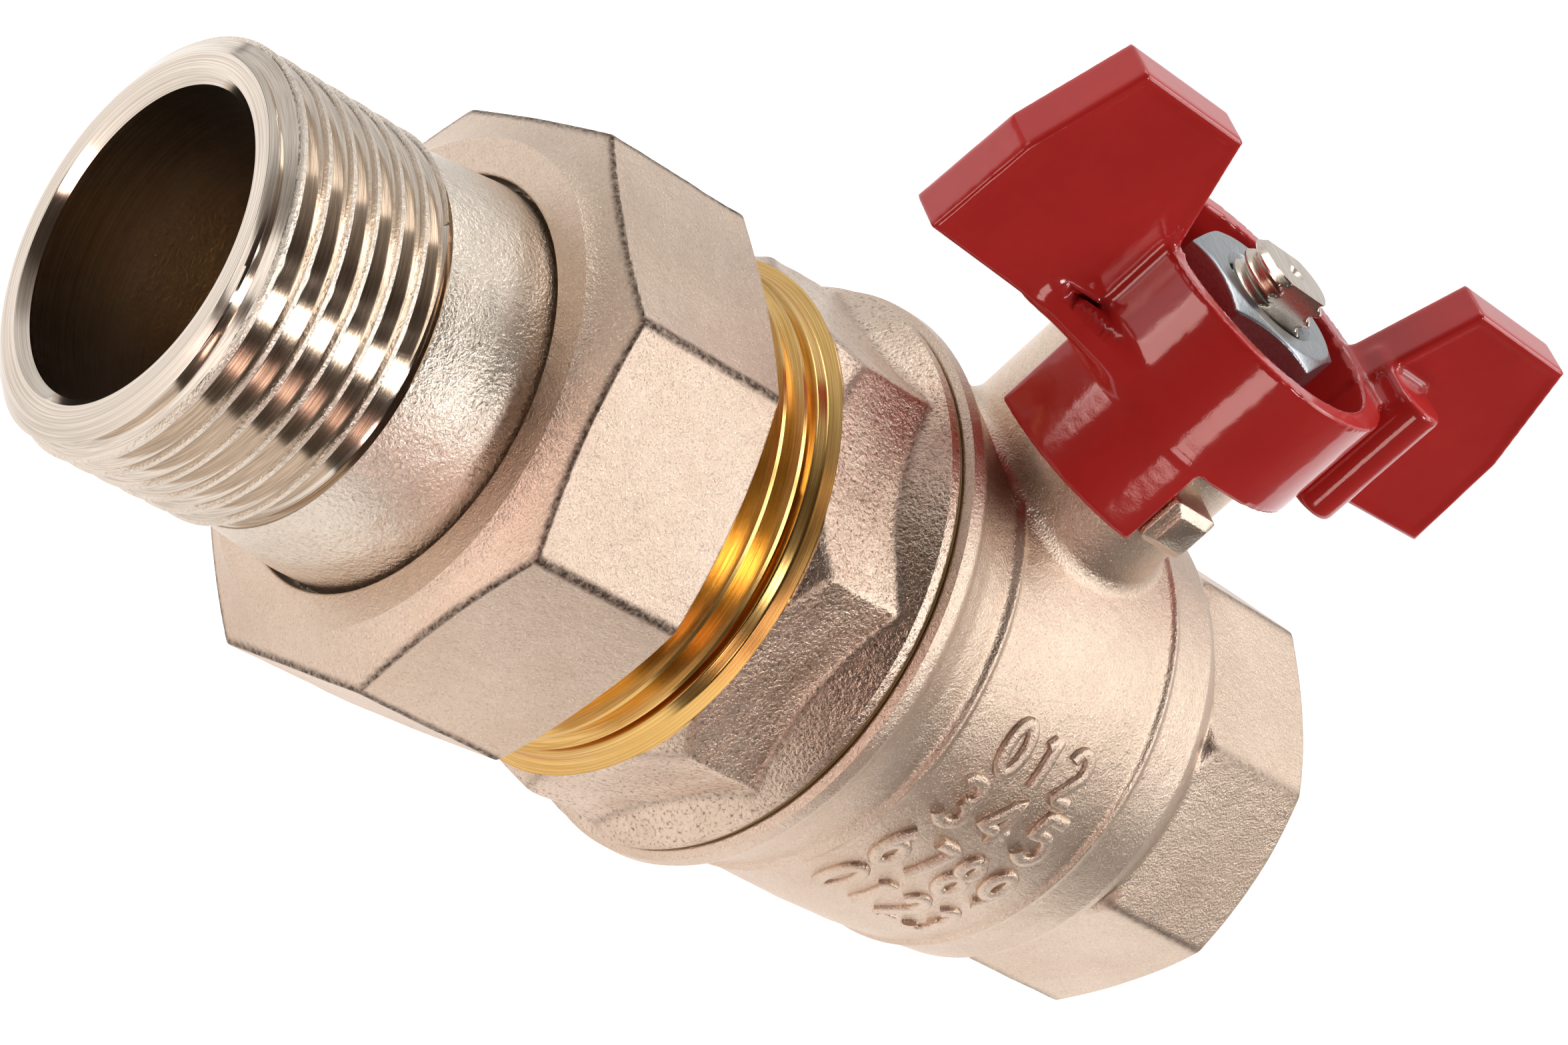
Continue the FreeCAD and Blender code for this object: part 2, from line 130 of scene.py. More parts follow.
def joined(points, triangles):
    """Points closer than a tenth of a micron become one, and triangles that vanish are dropped."""
    _, first, back = np.unique(np.round(points / 1e-7).astype(np.int64), axis=0,
                               return_index=True, return_inverse=True)
    triangles = back.reshape(-1)[triangles]
    a, b, c = triangles.T
    return first, triangles[(a != b) & (b != c) & (c != a)]


def outward(points, triangles):
    """Turns a closed surface's triangles over if the volume that they enclose comes out negative."""
    a, b, c = (points[triangles[:, i]] - points[0] for i in range(3))
    volume = np.einsum("ij,ij->i", a, np.cross(b, c)).sum()
    return triangles if volume > 0 else triangles[:, ::-1]


def smooth(mesh, crease):
    """Smooth shading, but edges sharper than `crease` degrees stay sharp."""
    mesh.shade_smooth()
    mesh.set_sharp_from_angle(angle=np.radians(crease))


def make_piece(name, grids, body, slot, node=None, values=None, crease=32):
    """A closed mesh from one or more grids of points, riding on its body.

    grids: arrays of shape (rows, columns, 3). values: name -> list of arrays, one per grid, kept on
    the vertices. crease: edges sharper than this many degrees stay sharp.
    """
    flat = [g.reshape(-1, 3) for g in grids]
    starts = np.cumsum([0] + [len(f) for f in flat[:-1]])
    faces = [outward(points, grid_triangles(*grid.shape[:2])) + start
             for grid, points, start in zip(grids, flat, starts)]
    points, faces = np.concatenate(flat), np.concatenate(faces)
    first, faces = joined(points, faces)
    mesh = bpy.data.meshes.new(name)
    mesh.vertices.add(len(first))
    mesh.vertices.foreach_set("co", points[first].ravel())
    mesh.loops.add(faces.size)
    mesh.loops.foreach_set("vertex_index", faces.ravel())
    mesh.polygons.add(len(faces))
    mesh.polygons.foreach_set("loop_start", np.arange(len(faces)) * 3)
    mesh.update(calc_edges=True)
    for key, arrays in (values or {}).items():
        layer = mesh.attributes.new(key, "FLOAT", "POINT")
        layer.data.foreach_set("value", np.concatenate([v.ravel() for v in arrays])[first])
    smooth(mesh, crease)
    piece = add_object(name, mesh)
    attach(piece, body)
    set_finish(piece, slot)
    if node:
        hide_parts(node)
    print(f"{name}: {len(first)} points, {len(faces)} triangles")
    return piece


# %% [markdown]
# Profiles and soft corners
#
# Nothing that is turned, forged or cast has a perfectly sharp corner. A profile is given as a
# few corners, and each corner is replaced by a short curve. Where two shapes meet, such as a cone
# and a flat, a soft minimum or maximum rounds the meeting line by about as much as the tool does.

# %% Profile helpers
def softened(corners, radius, steps=5):
    """A closed outline whose corners are quadratic curves that start `radius` before each corner."""
    p = np.asarray(corners, float)
    before, after = np.roll(p, 1, 0) - p, np.roll(p, -1, 0) - p
    radius = np.broadcast_to(radius, len(p))[:, None]
    reach = [np.minimum(radius, 0.48 * np.linalg.norm(e, axis=1, keepdims=True))
             / np.linalg.norm(e, axis=1, keepdims=True) for e in (before, after)]
    start, end = p + before * reach[0], p + after * reach[1]
    t = np.linspace(0, 1, steps)[None, :, None]
    curve = (1 - t) ** 2 * start[:, None] + 2 * t * (1 - t) * p[:, None] + t ** 2 * end[:, None]
    return curve.reshape(-1, 2)


def soft_min(a, b, k):
    """The smaller of a and b, rounded over a band of width k where they cross."""
    h = np.clip(0.5 + 0.5 * (b - a) / k, 0, 1)
    return b * (1 - h) + a * h - k * h * (1 - h)


def soft_max(a, b, k):
    """The larger of a and b, rounded in the same way."""
    return -soft_min(-a, -b, k)


def spread(*stops):
    """Stations from (value, count) stops: count equal steps from each value to the next."""
    parts = [np.linspace(a, b, n, endpoint=False) for (a, n), (b, _) in zip(stops, stops[1:])]
    return np.concatenate(parts + [[stops[-1][0]]])


def polygon_radius(phi, flats, sides, turn, corner):
    """Radius of a regular polygon with rounded corners: a flat is apothem / cos of the angle from its
    middle, and a corner is an arc of radius `corner` about a point on the corner's own spoke."""
    half = np.pi / sides
    off = (phi - turn + half) % (2 * half) - half
    apothem = flats / 2
    flat = apothem / np.cos(half - np.abs(off))
    hub = (apothem - corner) / np.cos(half)
    reach = np.maximum(corner ** 2 - (hub * np.sin(off)) ** 2, 0)
    arc = hub * np.cos(off) + np.sqrt(reach)
    arc_ends = np.arctan2(corner * np.sin(half), hub + corner * np.cos(half))
    return np.where(np.abs(off) < arc_ends, arc, flat)


def around(sides, turn, per_side):
    """Angles round a polygon, closer together near its corners than along its flats."""
    t = np.linspace(-1, 1, per_side, endpoint=False)
    side = np.sign(t) * np.abs(t) ** 1.7 * np.pi / sides
    angles = (turn + np.arange(sides)[:, None] * TURN / sides + side).ravel()
    return np.append(angles, angles[0] + TURN)


# %% [markdown]
# Cut threads
#
# A pipe thread is one groove wound round the pipe. The rows of its grid follow the groove: they
# move back by one pitch in each turn, so the last column meets the first one, a turn further on.
# The depth is a trapezium wave of the distance from the crest, with narrow flat crests, and it is
# cut off at the ends of the thread and by the chamfer there.

# %% Thread rows
PITCH = 2.309
CREST_FLAT, ROOT_FLAT = 0.075, 0.05  # half widths, as a share of the pitch


def thread_height(phase):
    """1 at the crest, 0 at the root: straight flanks between two narrow flats."""
    from_crest = np.abs((phase + 0.5) % 1 - 0.5)
    return 1 - np.clip((from_crest - CREST_FLAT) / (0.5 - CREST_FLAT - ROOT_FLAT), 0, 1)


def thread_rows(start, end, crest_at, root_r, crest_r, phi, steps=3, pitch=PITCH):
    """Stations and radii of a right-hand thread between two stations, as rows along the groove."""
    edges = np.array([-CREST_FLAT, CREST_FLAT, 0.5 - ROOT_FLAT, 0.5 + ROOT_FLAT, 1 - CREST_FLAT])
    counts = (2, steps, 2, steps)
    phases = np.concatenate([np.linspace(a, b, n, endpoint=False)
                             for a, b, n in zip(edges, edges[1:], counts)])
    low = np.floor((start - crest_at) / pitch) - 1
    high = np.ceil((end - crest_at) / pitch) + 2
    wound = (np.arange(low, high)[:, None] + phases).ravel()[:, None]
    turned = phi / TURN
    x = np.clip(crest_at + pitch * (wound - turned), start, end)
    height = thread_height((x - crest_at) / pitch + turned)
    return x, root_r + (crest_r - root_r) * height, height


def profile_rows(corners, phi, radius=0.15, steps=5):
    """A softened open profile as plain round rows: (stations, radii) that don't change with phi."""
    p = softened(corners, radius, steps)[steps:-steps]
    p = np.concatenate([[corners[0]], p, [corners[-1]]])
    return np.repeat(p[:, :1], len(phi), 1), np.repeat(p[:, 1:], len(phi), 1)


def loop_of(*parts):
    """Stacks rows of (stations, radii) into one closed loop: the first row comes again at the end."""
    x = np.concatenate([p[0] for p in parts] + [parts[0][0][:1]])
    r = np.concatenate([p[1] for p in parts] + [parts[0][1][:1]])
    return x, r


def loop_values(*rows):
    """Values for the rows of loop_of, stacked in the same way, as the one grid of a piece."""
    return [np.concatenate(rows + (rows[0][:1],))]


# %% [markdown]
# The tail piece
#
# This is the tube with the male pipe thread. Its end face is turned flat, its edge is chamfered,
# and the thread is cut into the forging, so the crests still have the grainy skin of the forging
# while the flanks are bright from the tool. The neck behind it is only blasted and plated. One
# profile carried round the pipe gives all of it, and a value kept on the points says where the
# skin is grainy.

# %% Tail piece
PIPE_CREST, PIPE_ROOT, PIPE_CREST_AT = 16.62, 15.14, -78.40  # radii, and a crest's station
INLET, THREAD_END = -80.7, -65.2
NECK_AT, NECK_START, NECK_END, NUT_BORE = -64.1, 15.9, 16.95, 17.3
COLLAR_FRONT, COLLAR_BACK, COLLAR_R = -51.8, -49.2, 18.9  # the collar that the nut pulls on
FLOW = 12.5  # radius of the waterway


def tail_piece():
    """Thread height cut off by the cone of the chamfer, then a neck that swells as a quarter sine."""
    phi = np.linspace(0, TURN, 337)
    face = profile_rows([(INLET + 0.8, FLOW), (INLET, FLOW + 0.8), (INLET, 14.8), (INLET + 0.2, 15.13)],
                        phi, 0.12)
    x, r, height = thread_rows(INLET + 0.25, THREAD_END, PIPE_CREST_AT, PIPE_ROOT, PIPE_CREST, phi, 4)
    cone = 14.8 + (x - INLET) * 1.6545
    r = soft_min(r, cone, 0.06)
    groove = profile_rows([(THREAD_END, 15.25), (THREAD_END + 0.95, 15.25),
                           (NECK_AT - 0.05, NECK_START - 0.1)], phi, 0.1, 3)
    along = np.linspace(0, 1, 26)
    neck_x = NECK_AT + (COLLAR_FRONT - NECK_AT) * along
    neck_r = NECK_START + (NECK_END - NECK_START) * np.sin(along * np.pi / 2) ** 0.85
    neck = [np.repeat(v[:, None], len(phi), 1) for v in (neck_x, neck_r)]
    wobble = 0.03 * np.sin(3 * phi + neck[0] * 0.9) + 0.02 * np.sin(7 * phi - neck[0] * 1.7)
    neck[1] = neck[1] + wobble * np.sin(along * np.pi)[:, None]
    back = profile_rows([(COLLAR_FRONT, NECK_END), (COLLAR_FRONT, COLLAR_R), (COLLAR_BACK, COLLAR_R),
                         (COLLAR_BACK, FLOW), (-56.0, FLOW), (-64.0, FLOW), (-72.0, FLOW),
                         (INLET + 0.8, FLOW)], phi, 0.2)
    on_crest = (height > 0.985) * (r > PIPE_CREST - 0.08) * 1.0
    in_bore = 0.6 * (back[1] < FLOW + 0.1)
    grainy = loop_values(0 * face[0], on_crest, 0 * groove[0], 1 + 0 * neck[0], in_bore)
    loop = loop_of(face, (x, r), groove, neck, back)
    return make_piece("tail_piece_threaded", [on_pipe(*loop, phi)], "tail", "bright_nickel", "tail_piece",
                      {"grainy": grainy})


tail_piece()

# %% [markdown]
# The union nut
#
# An eight-sided nut is forged, blasted and plated. Its front is a flat ring and then a shallow
# dished cone, and where that cone cuts the eight flats it leaves eight curved lines. Taking the
# smaller of the octagon's radius and the cone's radius gives those lines by itself, and a soft
# minimum gives them the softly rounded look of a forging. Those lines and the corners get a painted
# shade, a dark line. Inside, it has the large union thread.

# %% Union nut
UNION_CREST, UNION_ROOT, UNION_CREST_AT = 20.95, 19.48, -33.85
THREAD_PLAY = 0.05  # between the nut's thread and the connector's
NUT_FACE, NUT_BACK, NUT_FLATS = -55.05, -37.7, 45.9
NUT_CORNER = np.radians(13.4)  # angle of one of its corners


def skin(x, phi, amount):
    """Slow waves of a few hundredths of a millimetre, as a forging has: a sum of four sines."""
    return amount * (np.sin(5 * phi + 0.7 * x) + 0.7 * np.sin(11 * phi - 1.1 * x + 2)
                     + 0.6 * np.sin(17 * phi + 0.4 * x + 4) + 0.5 * np.sin(3 * phi - 2.3 * x + 1)) / 2


def close_to(distance, width, power=2):
    """1 on a line, falling off with the distance from it: a bell curve, flatter for a higher power."""
    return np.exp(-np.abs(distance / width) ** power)


def union_nut():
    """The smaller of octagon, dished front cone and back cone, and inside it a female thread."""
    phi = around(8, NUT_CORNER, 42)
    inner = NUT_FACE + 3.2
    bore = profile_rows([(inner, 21.0), (inner, NUT_BORE), (NUT_FACE, NUT_BORE), (NUT_FACE, 20.1)],
                        phi, 0.3)
    x = spread((NUT_FACE, 22), (-52.2, 26), (-39.2, 14), (NUT_BACK, 1))[:, None]
    octagon = polygon_radius(phi, NUT_FLATS, 8, NUT_CORNER, 0.9)
    front = 20.4 + (x - NUT_FACE) * 2.0 - 0.63 * np.sin(np.clip((x - NUT_FACE) / 2.3, 0, 1) * np.pi)
    back = 24.84 - np.clip(x + 38.55, -9, 9) * 2.34
    side = soft_min(octagon + skin(x, phi, 0.04), soft_min(front, back, 0.4), 0.45)
    rows = np.broadcast_to(x, side.shape), side
    end = profile_rows([(NUT_BACK, 22.2), (NUT_BACK, 21.45), (NUT_BACK - 0.45, 21.0)], phi, 0.1, 3)
    tx, tr, _ = thread_rows(inner, NUT_BACK - 0.45, UNION_CREST_AT, UNION_ROOT + THREAD_PLAY,
                            UNION_CREST + THREAD_PLAY, phi)
    # arc length from the nearest corner
    from_corner = ((phi - NUT_CORNER + np.pi / 8) % (np.pi / 4) - np.pi / 8) * 24
    # painted shade: a dark line along the curved lines where the cone cuts the flats and along the corners
    worn = np.maximum(close_to(front - octagon, 0.45, 4),
                      close_to(from_corner, 0.42, 4) * (front > octagon - 0.3)) * (x < -38.6)
    worn = loop_values(0 * bore[0], worn * np.ones_like(side), 0 * end[0], 0 * tx)
    cut = loop_values(1.0 * (bore[0] > NUT_FACE + 0.5), 0 * side, 1 + 0 * end[0], 1 + 0 * tx)
    loop = loop_of(bore, rows, end, (tx[::-1], tr[::-1]))
    return make_piece("union_nut_octagon", [on_pipe(*loop, phi)], "nut", "nut_nickel", "union_nut",
                      {"worn": worn, "cut": cut})


union_nut()

# %% [markdown]
# The end connector
#
# This piece screws into the body and carries the union thread. It is a nickel-plated forging whose
# turned parts were cut after plating, so the thread, the groove behind it and the cone up to the
# octagon show bare golden brass. Its octagon runs out in eight crescents against a round flange,
# which is a soft maximum of the octagon's radius and a cone's.

# %% End connector
CONNECTOR_FLATS, CONNECTOR_CORNER = 43.4, np.radians(35)
CONNECTOR_NOSE, CONNECTOR_BACK, CONNECTOR_INNER = -47.5, -17.7, -9.5
FLANGE_R, SEAT_BACK, SEAT_R = 24.45, -15.43, 17.65


def end_connector():
    """Thread, groove, land and cone, then the smaller of octagon and turned corner, or the flange."""
    phi = around(8, CONNECTOR_CORNER, 40)
    nose = profile_rows([(-40.0, FLOW), (CONNECTOR_NOSE, FLOW), (CONNECTOR_NOSE, 19.6)], phi, 0.2, 4)
    tx, tr, _ = thread_rows(CONNECTOR_NOSE + 0.3, -31.4, UNION_CREST_AT, UNION_ROOT, UNION_CREST, phi)
    tr = np.minimum(tr, 19.9 + (tx - CONNECTOR_NOSE) * 1.2)
    turned = profile_rows([(-31.4, 20.2), (-31.05, 20.2), (-30.85, 21.15), (-29.85, 21.3),
                           (-29.3, 22.3)], phi, 0.14)
    x = spread((-29.25, 16), (-27.2, 14), (-21.6, 26), (-18.8, 6), (CONNECTOR_BACK, 1))[:, None]
    octagon = polygon_radius(phi, CONNECTOR_FLATS, 8, CONNECTOR_CORNER, 0.8)
    corner = 22.32 + (x + 29.25) * 0.64
    flange = np.minimum(FLANGE_R - 0.04 + 0 * x, FLANGE_R - (-18.85 - x) * np.tan(np.radians(44)))
    side = soft_min(octagon + skin(x, phi, 0.07), corner, 0.35)
    side = soft_max(side, flange, 0.35) - 0.25 * close_to(x - CONNECTOR_BACK, 0.16)
    side = np.minimum(side, FLANGE_R)
    rows = np.broadcast_to(x, side.shape), side
    back = profile_rows([(CONNECTOR_BACK, 21.4), (CONNECTOR_BACK, UNION_CREST - 0.05),
                         (CONNECTOR_INNER, UNION_CREST - 0.05), (CONNECTOR_INNER, SEAT_R),
                         (SEAT_BACK, SEAT_R), (SEAT_BACK, FLOW), (-40.0, FLOW)], phi, 0.15, 4)
    brass = loop_values(1 + 0 * nose[0], 1 + 0 * tx, 1 + 0 * turned[0],
                        (x < -29.2) * np.ones_like(side), 1 + 0 * back[0])
    # painted shade: a dark line where the octagon runs out in crescents and where it meets the flange
    at_corner = close_to(corner - octagon, 0.3)
    at_flange = close_to(flange - octagon - 0.1, 0.3) * (x < -19.4)
    worn = 0.4 * np.maximum(at_corner, at_flange)
    worn = loop_values(0 * nose[0], 0 * tx, 0 * turned[0], worn * np.ones_like(side), 0 * back[0])
    loop = loop_of(nose, (tx, tr), turned, rows, back)
    return make_piece("end_connector_turned", [on_pipe(*loop, phi)], "shell", "connector_brass",
                      "end_connector", {"brass": brass, "worn": worn})


end_connector()

# %% [markdown]
# The body
#
# The body is one casting: a barrel with three raised rings, a neck for the stem, a square stop for
# the handle and an octagon round the outlet. The barrel with its octagon is again a radius over the
# pipe, soft where the barrel's shoulder meets the flats. The neck is a radius over the stem that
# flares where it meets the barrel, and the stop is a bar with cut corners. They are joined by a
# boolean union, and the stem's stepped bore is cut out of the result, as it is in the foundry and
# on the drill.

# %% Barrel and outlet
OUTLET_FLATS, BAND_R, RIDGE_R = 38.2, 22.3, 25.05
OUTLET_BORE, OUTLET_THREAD, OUTLET_ROOT = 15.15, 14.6, 16.6
JOINT_FACE, CAVITY_R = -17.3, 19.5


def barrel_radius(x):
    """The turned outline of the barrel: flange slope, band with a slight swell, shoulder."""
    stops = [(-17.3, 24.3), (-16.9, 24.95), (-15.6, 25.0), (-15.1, 24.7), (-13.9, 23.5), (-11.5, 22.65),
             (-8.9, 22.3), (-4.0, 22.48), (1.9, 22.55), (7.0, 22.45), (10.9, 22.15), (17.2, 21.65),
             (18.2, 21.2), (20.2, 19.6), (21.6, 18.2), (34.0, 17.5)]
    sx, sr = np.array(stops).T
    r = np.interp(x, sx, sr)
    for at in (-8.0, 11.8):
        r = r + 0.32 * np.exp(-((x - at) / 0.42) ** 2)
    return r


def barrel():
    """The larger of the barrel's outline and the octagon behind it, and a stepped bore inside."""
    phi = around(8, 0.0, 42)
    x = spread((JOINT_FACE, 7), (-16.9, 5), (-15.0, 6), (-12.0, 6), (-9.0, 12), (-7.0, 10), (10.8, 12),
               (12.8, 8), (17.0, 30), (22.5, 14), (32.4, 12), (REACH, 1))[:, None]
    octagon = polygon_radius(phi, OUTLET_FLATS, 8, 0.0, 1.0)
    front = 18.2 + (x - 18.3) * 0.95
    end = 20.75 - np.clip(x - 32.45, -9, 9) * 1.55
    block = soft_min(soft_min(octagon + 0 * x, front, 0.5), end, 0.5)
    side = soft_max(barrel_radius(x), block, 0.5) + skin(x, phi, 0.022)
    side = np.minimum(side, RIDGE_R - 0.02)
    rows = np.broadcast_to(x, side.shape), side
    start = REACH - OUTLET_THREAD
    mouth = profile_rows([(REACH, 17.9), (REACH, OUTLET_ROOT + 0.1), (REACH - 0.5, OUTLET_ROOT - 0.4)],
                         phi, 0.15, 4)
    tx, tr, _ = thread_rows(start, REACH - 0.5, -1.2, OUTLET_BORE, OUTLET_ROOT - 0.02, phi, 2)
    bore = profile_rows([(start, 17.0), (start - 2, 17.0), (start - 2, FLOW), (-SEAT_BACK, FLOW),
                         (-SEAT_BACK, SEAT_R), (9.9, SEAT_R), (10.1, CAVITY_R), (-8.7, CAVITY_R),
                         (-8.7, UNION_CREST), (JOINT_FACE, UNION_CREST), (JOINT_FACE, 23.9)], phi, 0.2, 4)
    loop = loop_of(rows, mouth, (tx[::-1], tr[::-1]), bore)
    return on_pipe(*loop, phi)


# %% [markdown]
# Neck and stop
#
# The foot of the neck has to follow the barrel. The height of the barrel at a point is known, so a
# row of the neck is placed a little above that height and pushed outwards by a quarter circle, and
# the lowest rows dip under the surface.

# %% Neck and stop lug
NECK_R, NECK_TOP, STEM_R, BARREL_TOP = 10.3, 33.0, 6.0, 22.5
LUG_AT, LUG_Z, LUG_REACH, LUG_W, LUG_H = -0.65, 29.2, 14.2, 4.8, 4.4  # middle, reach and section


def neck():
    """Radius NECK_R plus a quarter-circle flare, each foot row at its own height over the barrel."""
    theta = np.linspace(0, TURN, 145)
    climb = np.radians(np.array([0, 12, 25, 38, 52, 66, 78, 90]))[:, None]
    fillet = 1.25
    out = NECK_R + fillet * (1 - np.sin(climb)) + 0 * theta
    ground = np.sqrt(np.maximum(BARREL_TOP ** 2 - (out * np.sin(theta)) ** 2, 1))
    foot_z = ground + fillet * (1 - np.cos(climb)) - 0.12
    top = softened([(NECK_TOP, 0.0), (NECK_TOP, NECK_R), (28.0, NECK_R), (25.0, NECK_R), (24.5, 0.0)], 0.35)
    top = top[5:10]
    z = np.concatenate([np.full((1, theta.size), NECK_TOP), np.repeat(top[:, :1], theta.size, 1),
                        foot_z[::-1], foot_z[:1] - 2.5, np.full((1, theta.size), 18.0)])
    r = np.concatenate([np.zeros((1, theta.size)), np.repeat(top[:, 1:], theta.size, 1), out[::-1],
                        out[:1] - 0.3, np.zeros((1, theta.size))])
    return on_stem(z, r, theta)


def bar(place, sizes, cut):
    """A square bar along Y with rows |x/a|^14 + |z/b|^14 = 1, drawn in at its free end by `cut`."""
    x0, y0, y1, z0 = place
    turn = np.linspace(0, TURN, 65)
    shrink = np.array([(y0, 9), (y0, cut + 0.15), (y0 + 0.06, cut), (y0 + cut, 0.03), (y0 + cut + 0.15, 0),
                       (y1, 0), (y1, 9)])
    half = np.maximum(np.array(sizes)[None, :] / 2 - shrink[:, 1:], 0)
    power = 14
    c, s = np.cos(turn), np.sin(turn)
    ring = (np.abs(c) ** power + np.abs(s) ** power) ** (-1 / power)
    x = x0 + half[:, :1] * ring * c
    z = z0 + half[:, 1:] * ring * s
    y = np.repeat(shrink[:, :1], len(turn), 1)
    return np.stack([x - REACH, y, z], -1) * MM


def cutter(theta):
    """The stepped bore for the stem: collar, shaft and gland pocket, as one turned solid."""
    steps = [(-1.0, 0), (-1.0, 8.2), (22.0, 8.2), (22.0, STEM_R + 0.05), (27.0, STEM_R + 0.05), (27.0, 8.6),
             (34.0, 8.6), (34.0, 0)]
    z, r = np.array(steps).T
    return on_stem(z[:, None], r[:, None], theta)


def with_modifiers(thing):
    """A new mesh of an object as its modifiers leave it."""
    bpy.context.view_layer.update()
    return bpy.data.meshes.new_from_object(thing.evaluated_get(bpy.context.evaluated_depsgraph_get()))


def points_of(mesh):
    """A mesh's points as rows of (x, y, z) in mm from the ball's centre."""
    points = np.empty(len(mesh.vertices) * 3)
    mesh.vertices.foreach_get("co", points)
    return points.reshape(-1, 3) / MM + (REACH, 0, 0)


def boolean(target, tool, operation):
    """Applies a boolean of two closed meshes to the first, and removes the second."""
    step = target.modifiers.new(operation, "BOOLEAN")
    step.operation, step.object, step.solver = operation, tool, "MANIFOLD"
    result = with_modifiers(target)
    target.modifiers.remove(step)
    old, target.data = target.data, result
    bpy.data.meshes.remove(old)
    bpy.data.objects.remove(tool)
    shape = bmesh.new()
    shape.from_mesh(result)
    bmesh.ops.remove_doubles(shape, verts=shape.verts, dist=2e-6)
    bmesh.ops.dissolve_degenerate(shape, edges=shape.edges, dist=2e-6)
    bmesh.ops.triangulate(shape, faces=shape.faces)
    open_edges = sum(not edge.is_manifold for edge in shape.edges)
    shape.to_mesh(result)
    shape.free()
    print(f"{operation.lower()}: {len(result.polygons)} faces, {open_edges} open edges")


def loose(name, grid):
    """A closed mesh that is only a tool for a boolean."""
    points = grid.reshape(-1, 3)
    first, faces = joined(points, outward(points, grid_triangles(*grid.shape[:2])))
    mesh = bpy.data.meshes.new(name)
    mesh.from_pydata(points[first], [], faces.tolist())
    return add_object(name, mesh)


# %% Body casting
def body():
    """Barrel, neck and stop joined, and the stem's bore cut out."""
    casting = make_piece("body_casting", [barrel()], "shell", "cast_nickel", "body")
    boolean(casting, loose("neck_tool", neck()), "UNION")
    lug = bar((LUG_AT, -LUG_REACH, -NECK_R + 3, LUG_Z), (LUG_W, LUG_H), 0.7)
    boolean(casting, loose("lug_tool", lug), "UNION")
    boolean(casting, loose("bore_tool", cutter(np.linspace(0, TURN, 97))), "DIFFERENCE")
    mesh = casting.data
    x, y, z = points_of(mesh).T
    around_pipe, around_stem = np.hypot(y, z), np.hypot(x, y)
    # turned: the outlet's bore and rim, the stem's bore and the neck's top, the joint, the chamber
    cut = (around_pipe < 18.3) & ((x > 33.3) | (around_pipe < 17.4)) & (z < 24)
    cut |= (around_stem < 8.9) & (z > 18) | (z > NECK_TOP - 0.1)
    cut |= (x < JOINT_FACE + 0.1) & (around_pipe < 24)
    cut |= (around_pipe < 21.2) & (x < 10.5) & (z < 21)
    # arc length from the nearest corner of the outlet's octagon
    corner = np.abs((np.arctan2(z, -y) + np.pi / 8) % (np.pi / 4) - np.pi / 8) * 19.5
    # painted shade: a dark line along the corners of the outlet's octagon
    worn = 0.6 * close_to(corner, 0.45) * (x > 19) * (around_pipe > 19)
    cut = np.where((y < 0.72 - LUG_REACH) & (z > 25), 0.4, cut * 1.0)
    for key, value in (("cut", cut), ("worn", worn)):
        mesh.attributes.new(key, "FLOAT", "POINT").data.foreach_set("value", value)
    smooth(mesh, 34)
    return casting


body()

# %% [markdown]
# Raised numbers
#
# The casting carries four rows of raised characters. A set of plain digits stands in their place.
# Each digit is one or two strokes, a stroke is a line of points in a unit box, and a half-round bead
# is carried along it over the barrel. The strokes are arcs of ellipses and straight runs between listed
# points.

# %% Digit strokes
def arc(cx, cy, rx, ry, a, b, n=14):
    """Points of an ellipse's arc between two angles in degrees."""
    t = np.radians(np.linspace(a, b, n))
    return np.stack([cx + rx * np.cos(t), cy + ry * np.sin(t)], -1)


def line(*points, n=6):
    """Points along straight runs."""
    p = np.array(points, float)
    return np.concatenate([np.linspace(a, b, n, endpoint=False) for a, b in zip(p, p[1:])] + [p[-1:]])


DIGITS = {
    "0": [arc(0.5, 0.5, 0.38, 0.48, 90, 455, 26)],
    "1": [line((0.3, 0.78), (0.55, 0.98), (0.55, 0.02))],
    "2": [np.concatenate([arc(0.5, 0.7, 0.36, 0.28, 165, -35), line((0.2, 0.03), (0.9, 0.03))])],
    "3": [arc(0.48, 0.73, 0.32, 0.25, 150, -85), arc(0.48, 0.26, 0.38, 0.26, 88, -150)],
    "4": [line((0.9, 0.3), (0.1, 0.3), (0.65, 0.98), (0.65, 0.02))],
    "5": [np.concatenate([line((0.85, 0.97), (0.27, 0.97), (0.2, 0.58)),
                          arc(0.48, 0.32, 0.38, 0.3, 118, -145)])],
    "6": [arc(0.5, 0.3, 0.35, 0.29, 100, 465, 22), arc(0.72, 0.35, 0.58, 0.62, 112, 180)],
    "7": [line((0.12, 0.97), (0.88, 0.97), (0.4, 0.02))],
    "8": [arc(0.5, 0.75, 0.29, 0.23, 90, 455, 20), arc(0.5, 0.27, 0.36, 0.26, 90, 455, 22)],
    "9": [arc(0.5, 0.7, 0.35, 0.29, 280, 645, 22), arc(0.28, 0.65, 0.58, 0.62, 292, 360)],
}
BEAD_W, BEAD_H, DIGIT_H = 0.62, 0.4, 4.6  # half width and height of a stroke, height of a digit


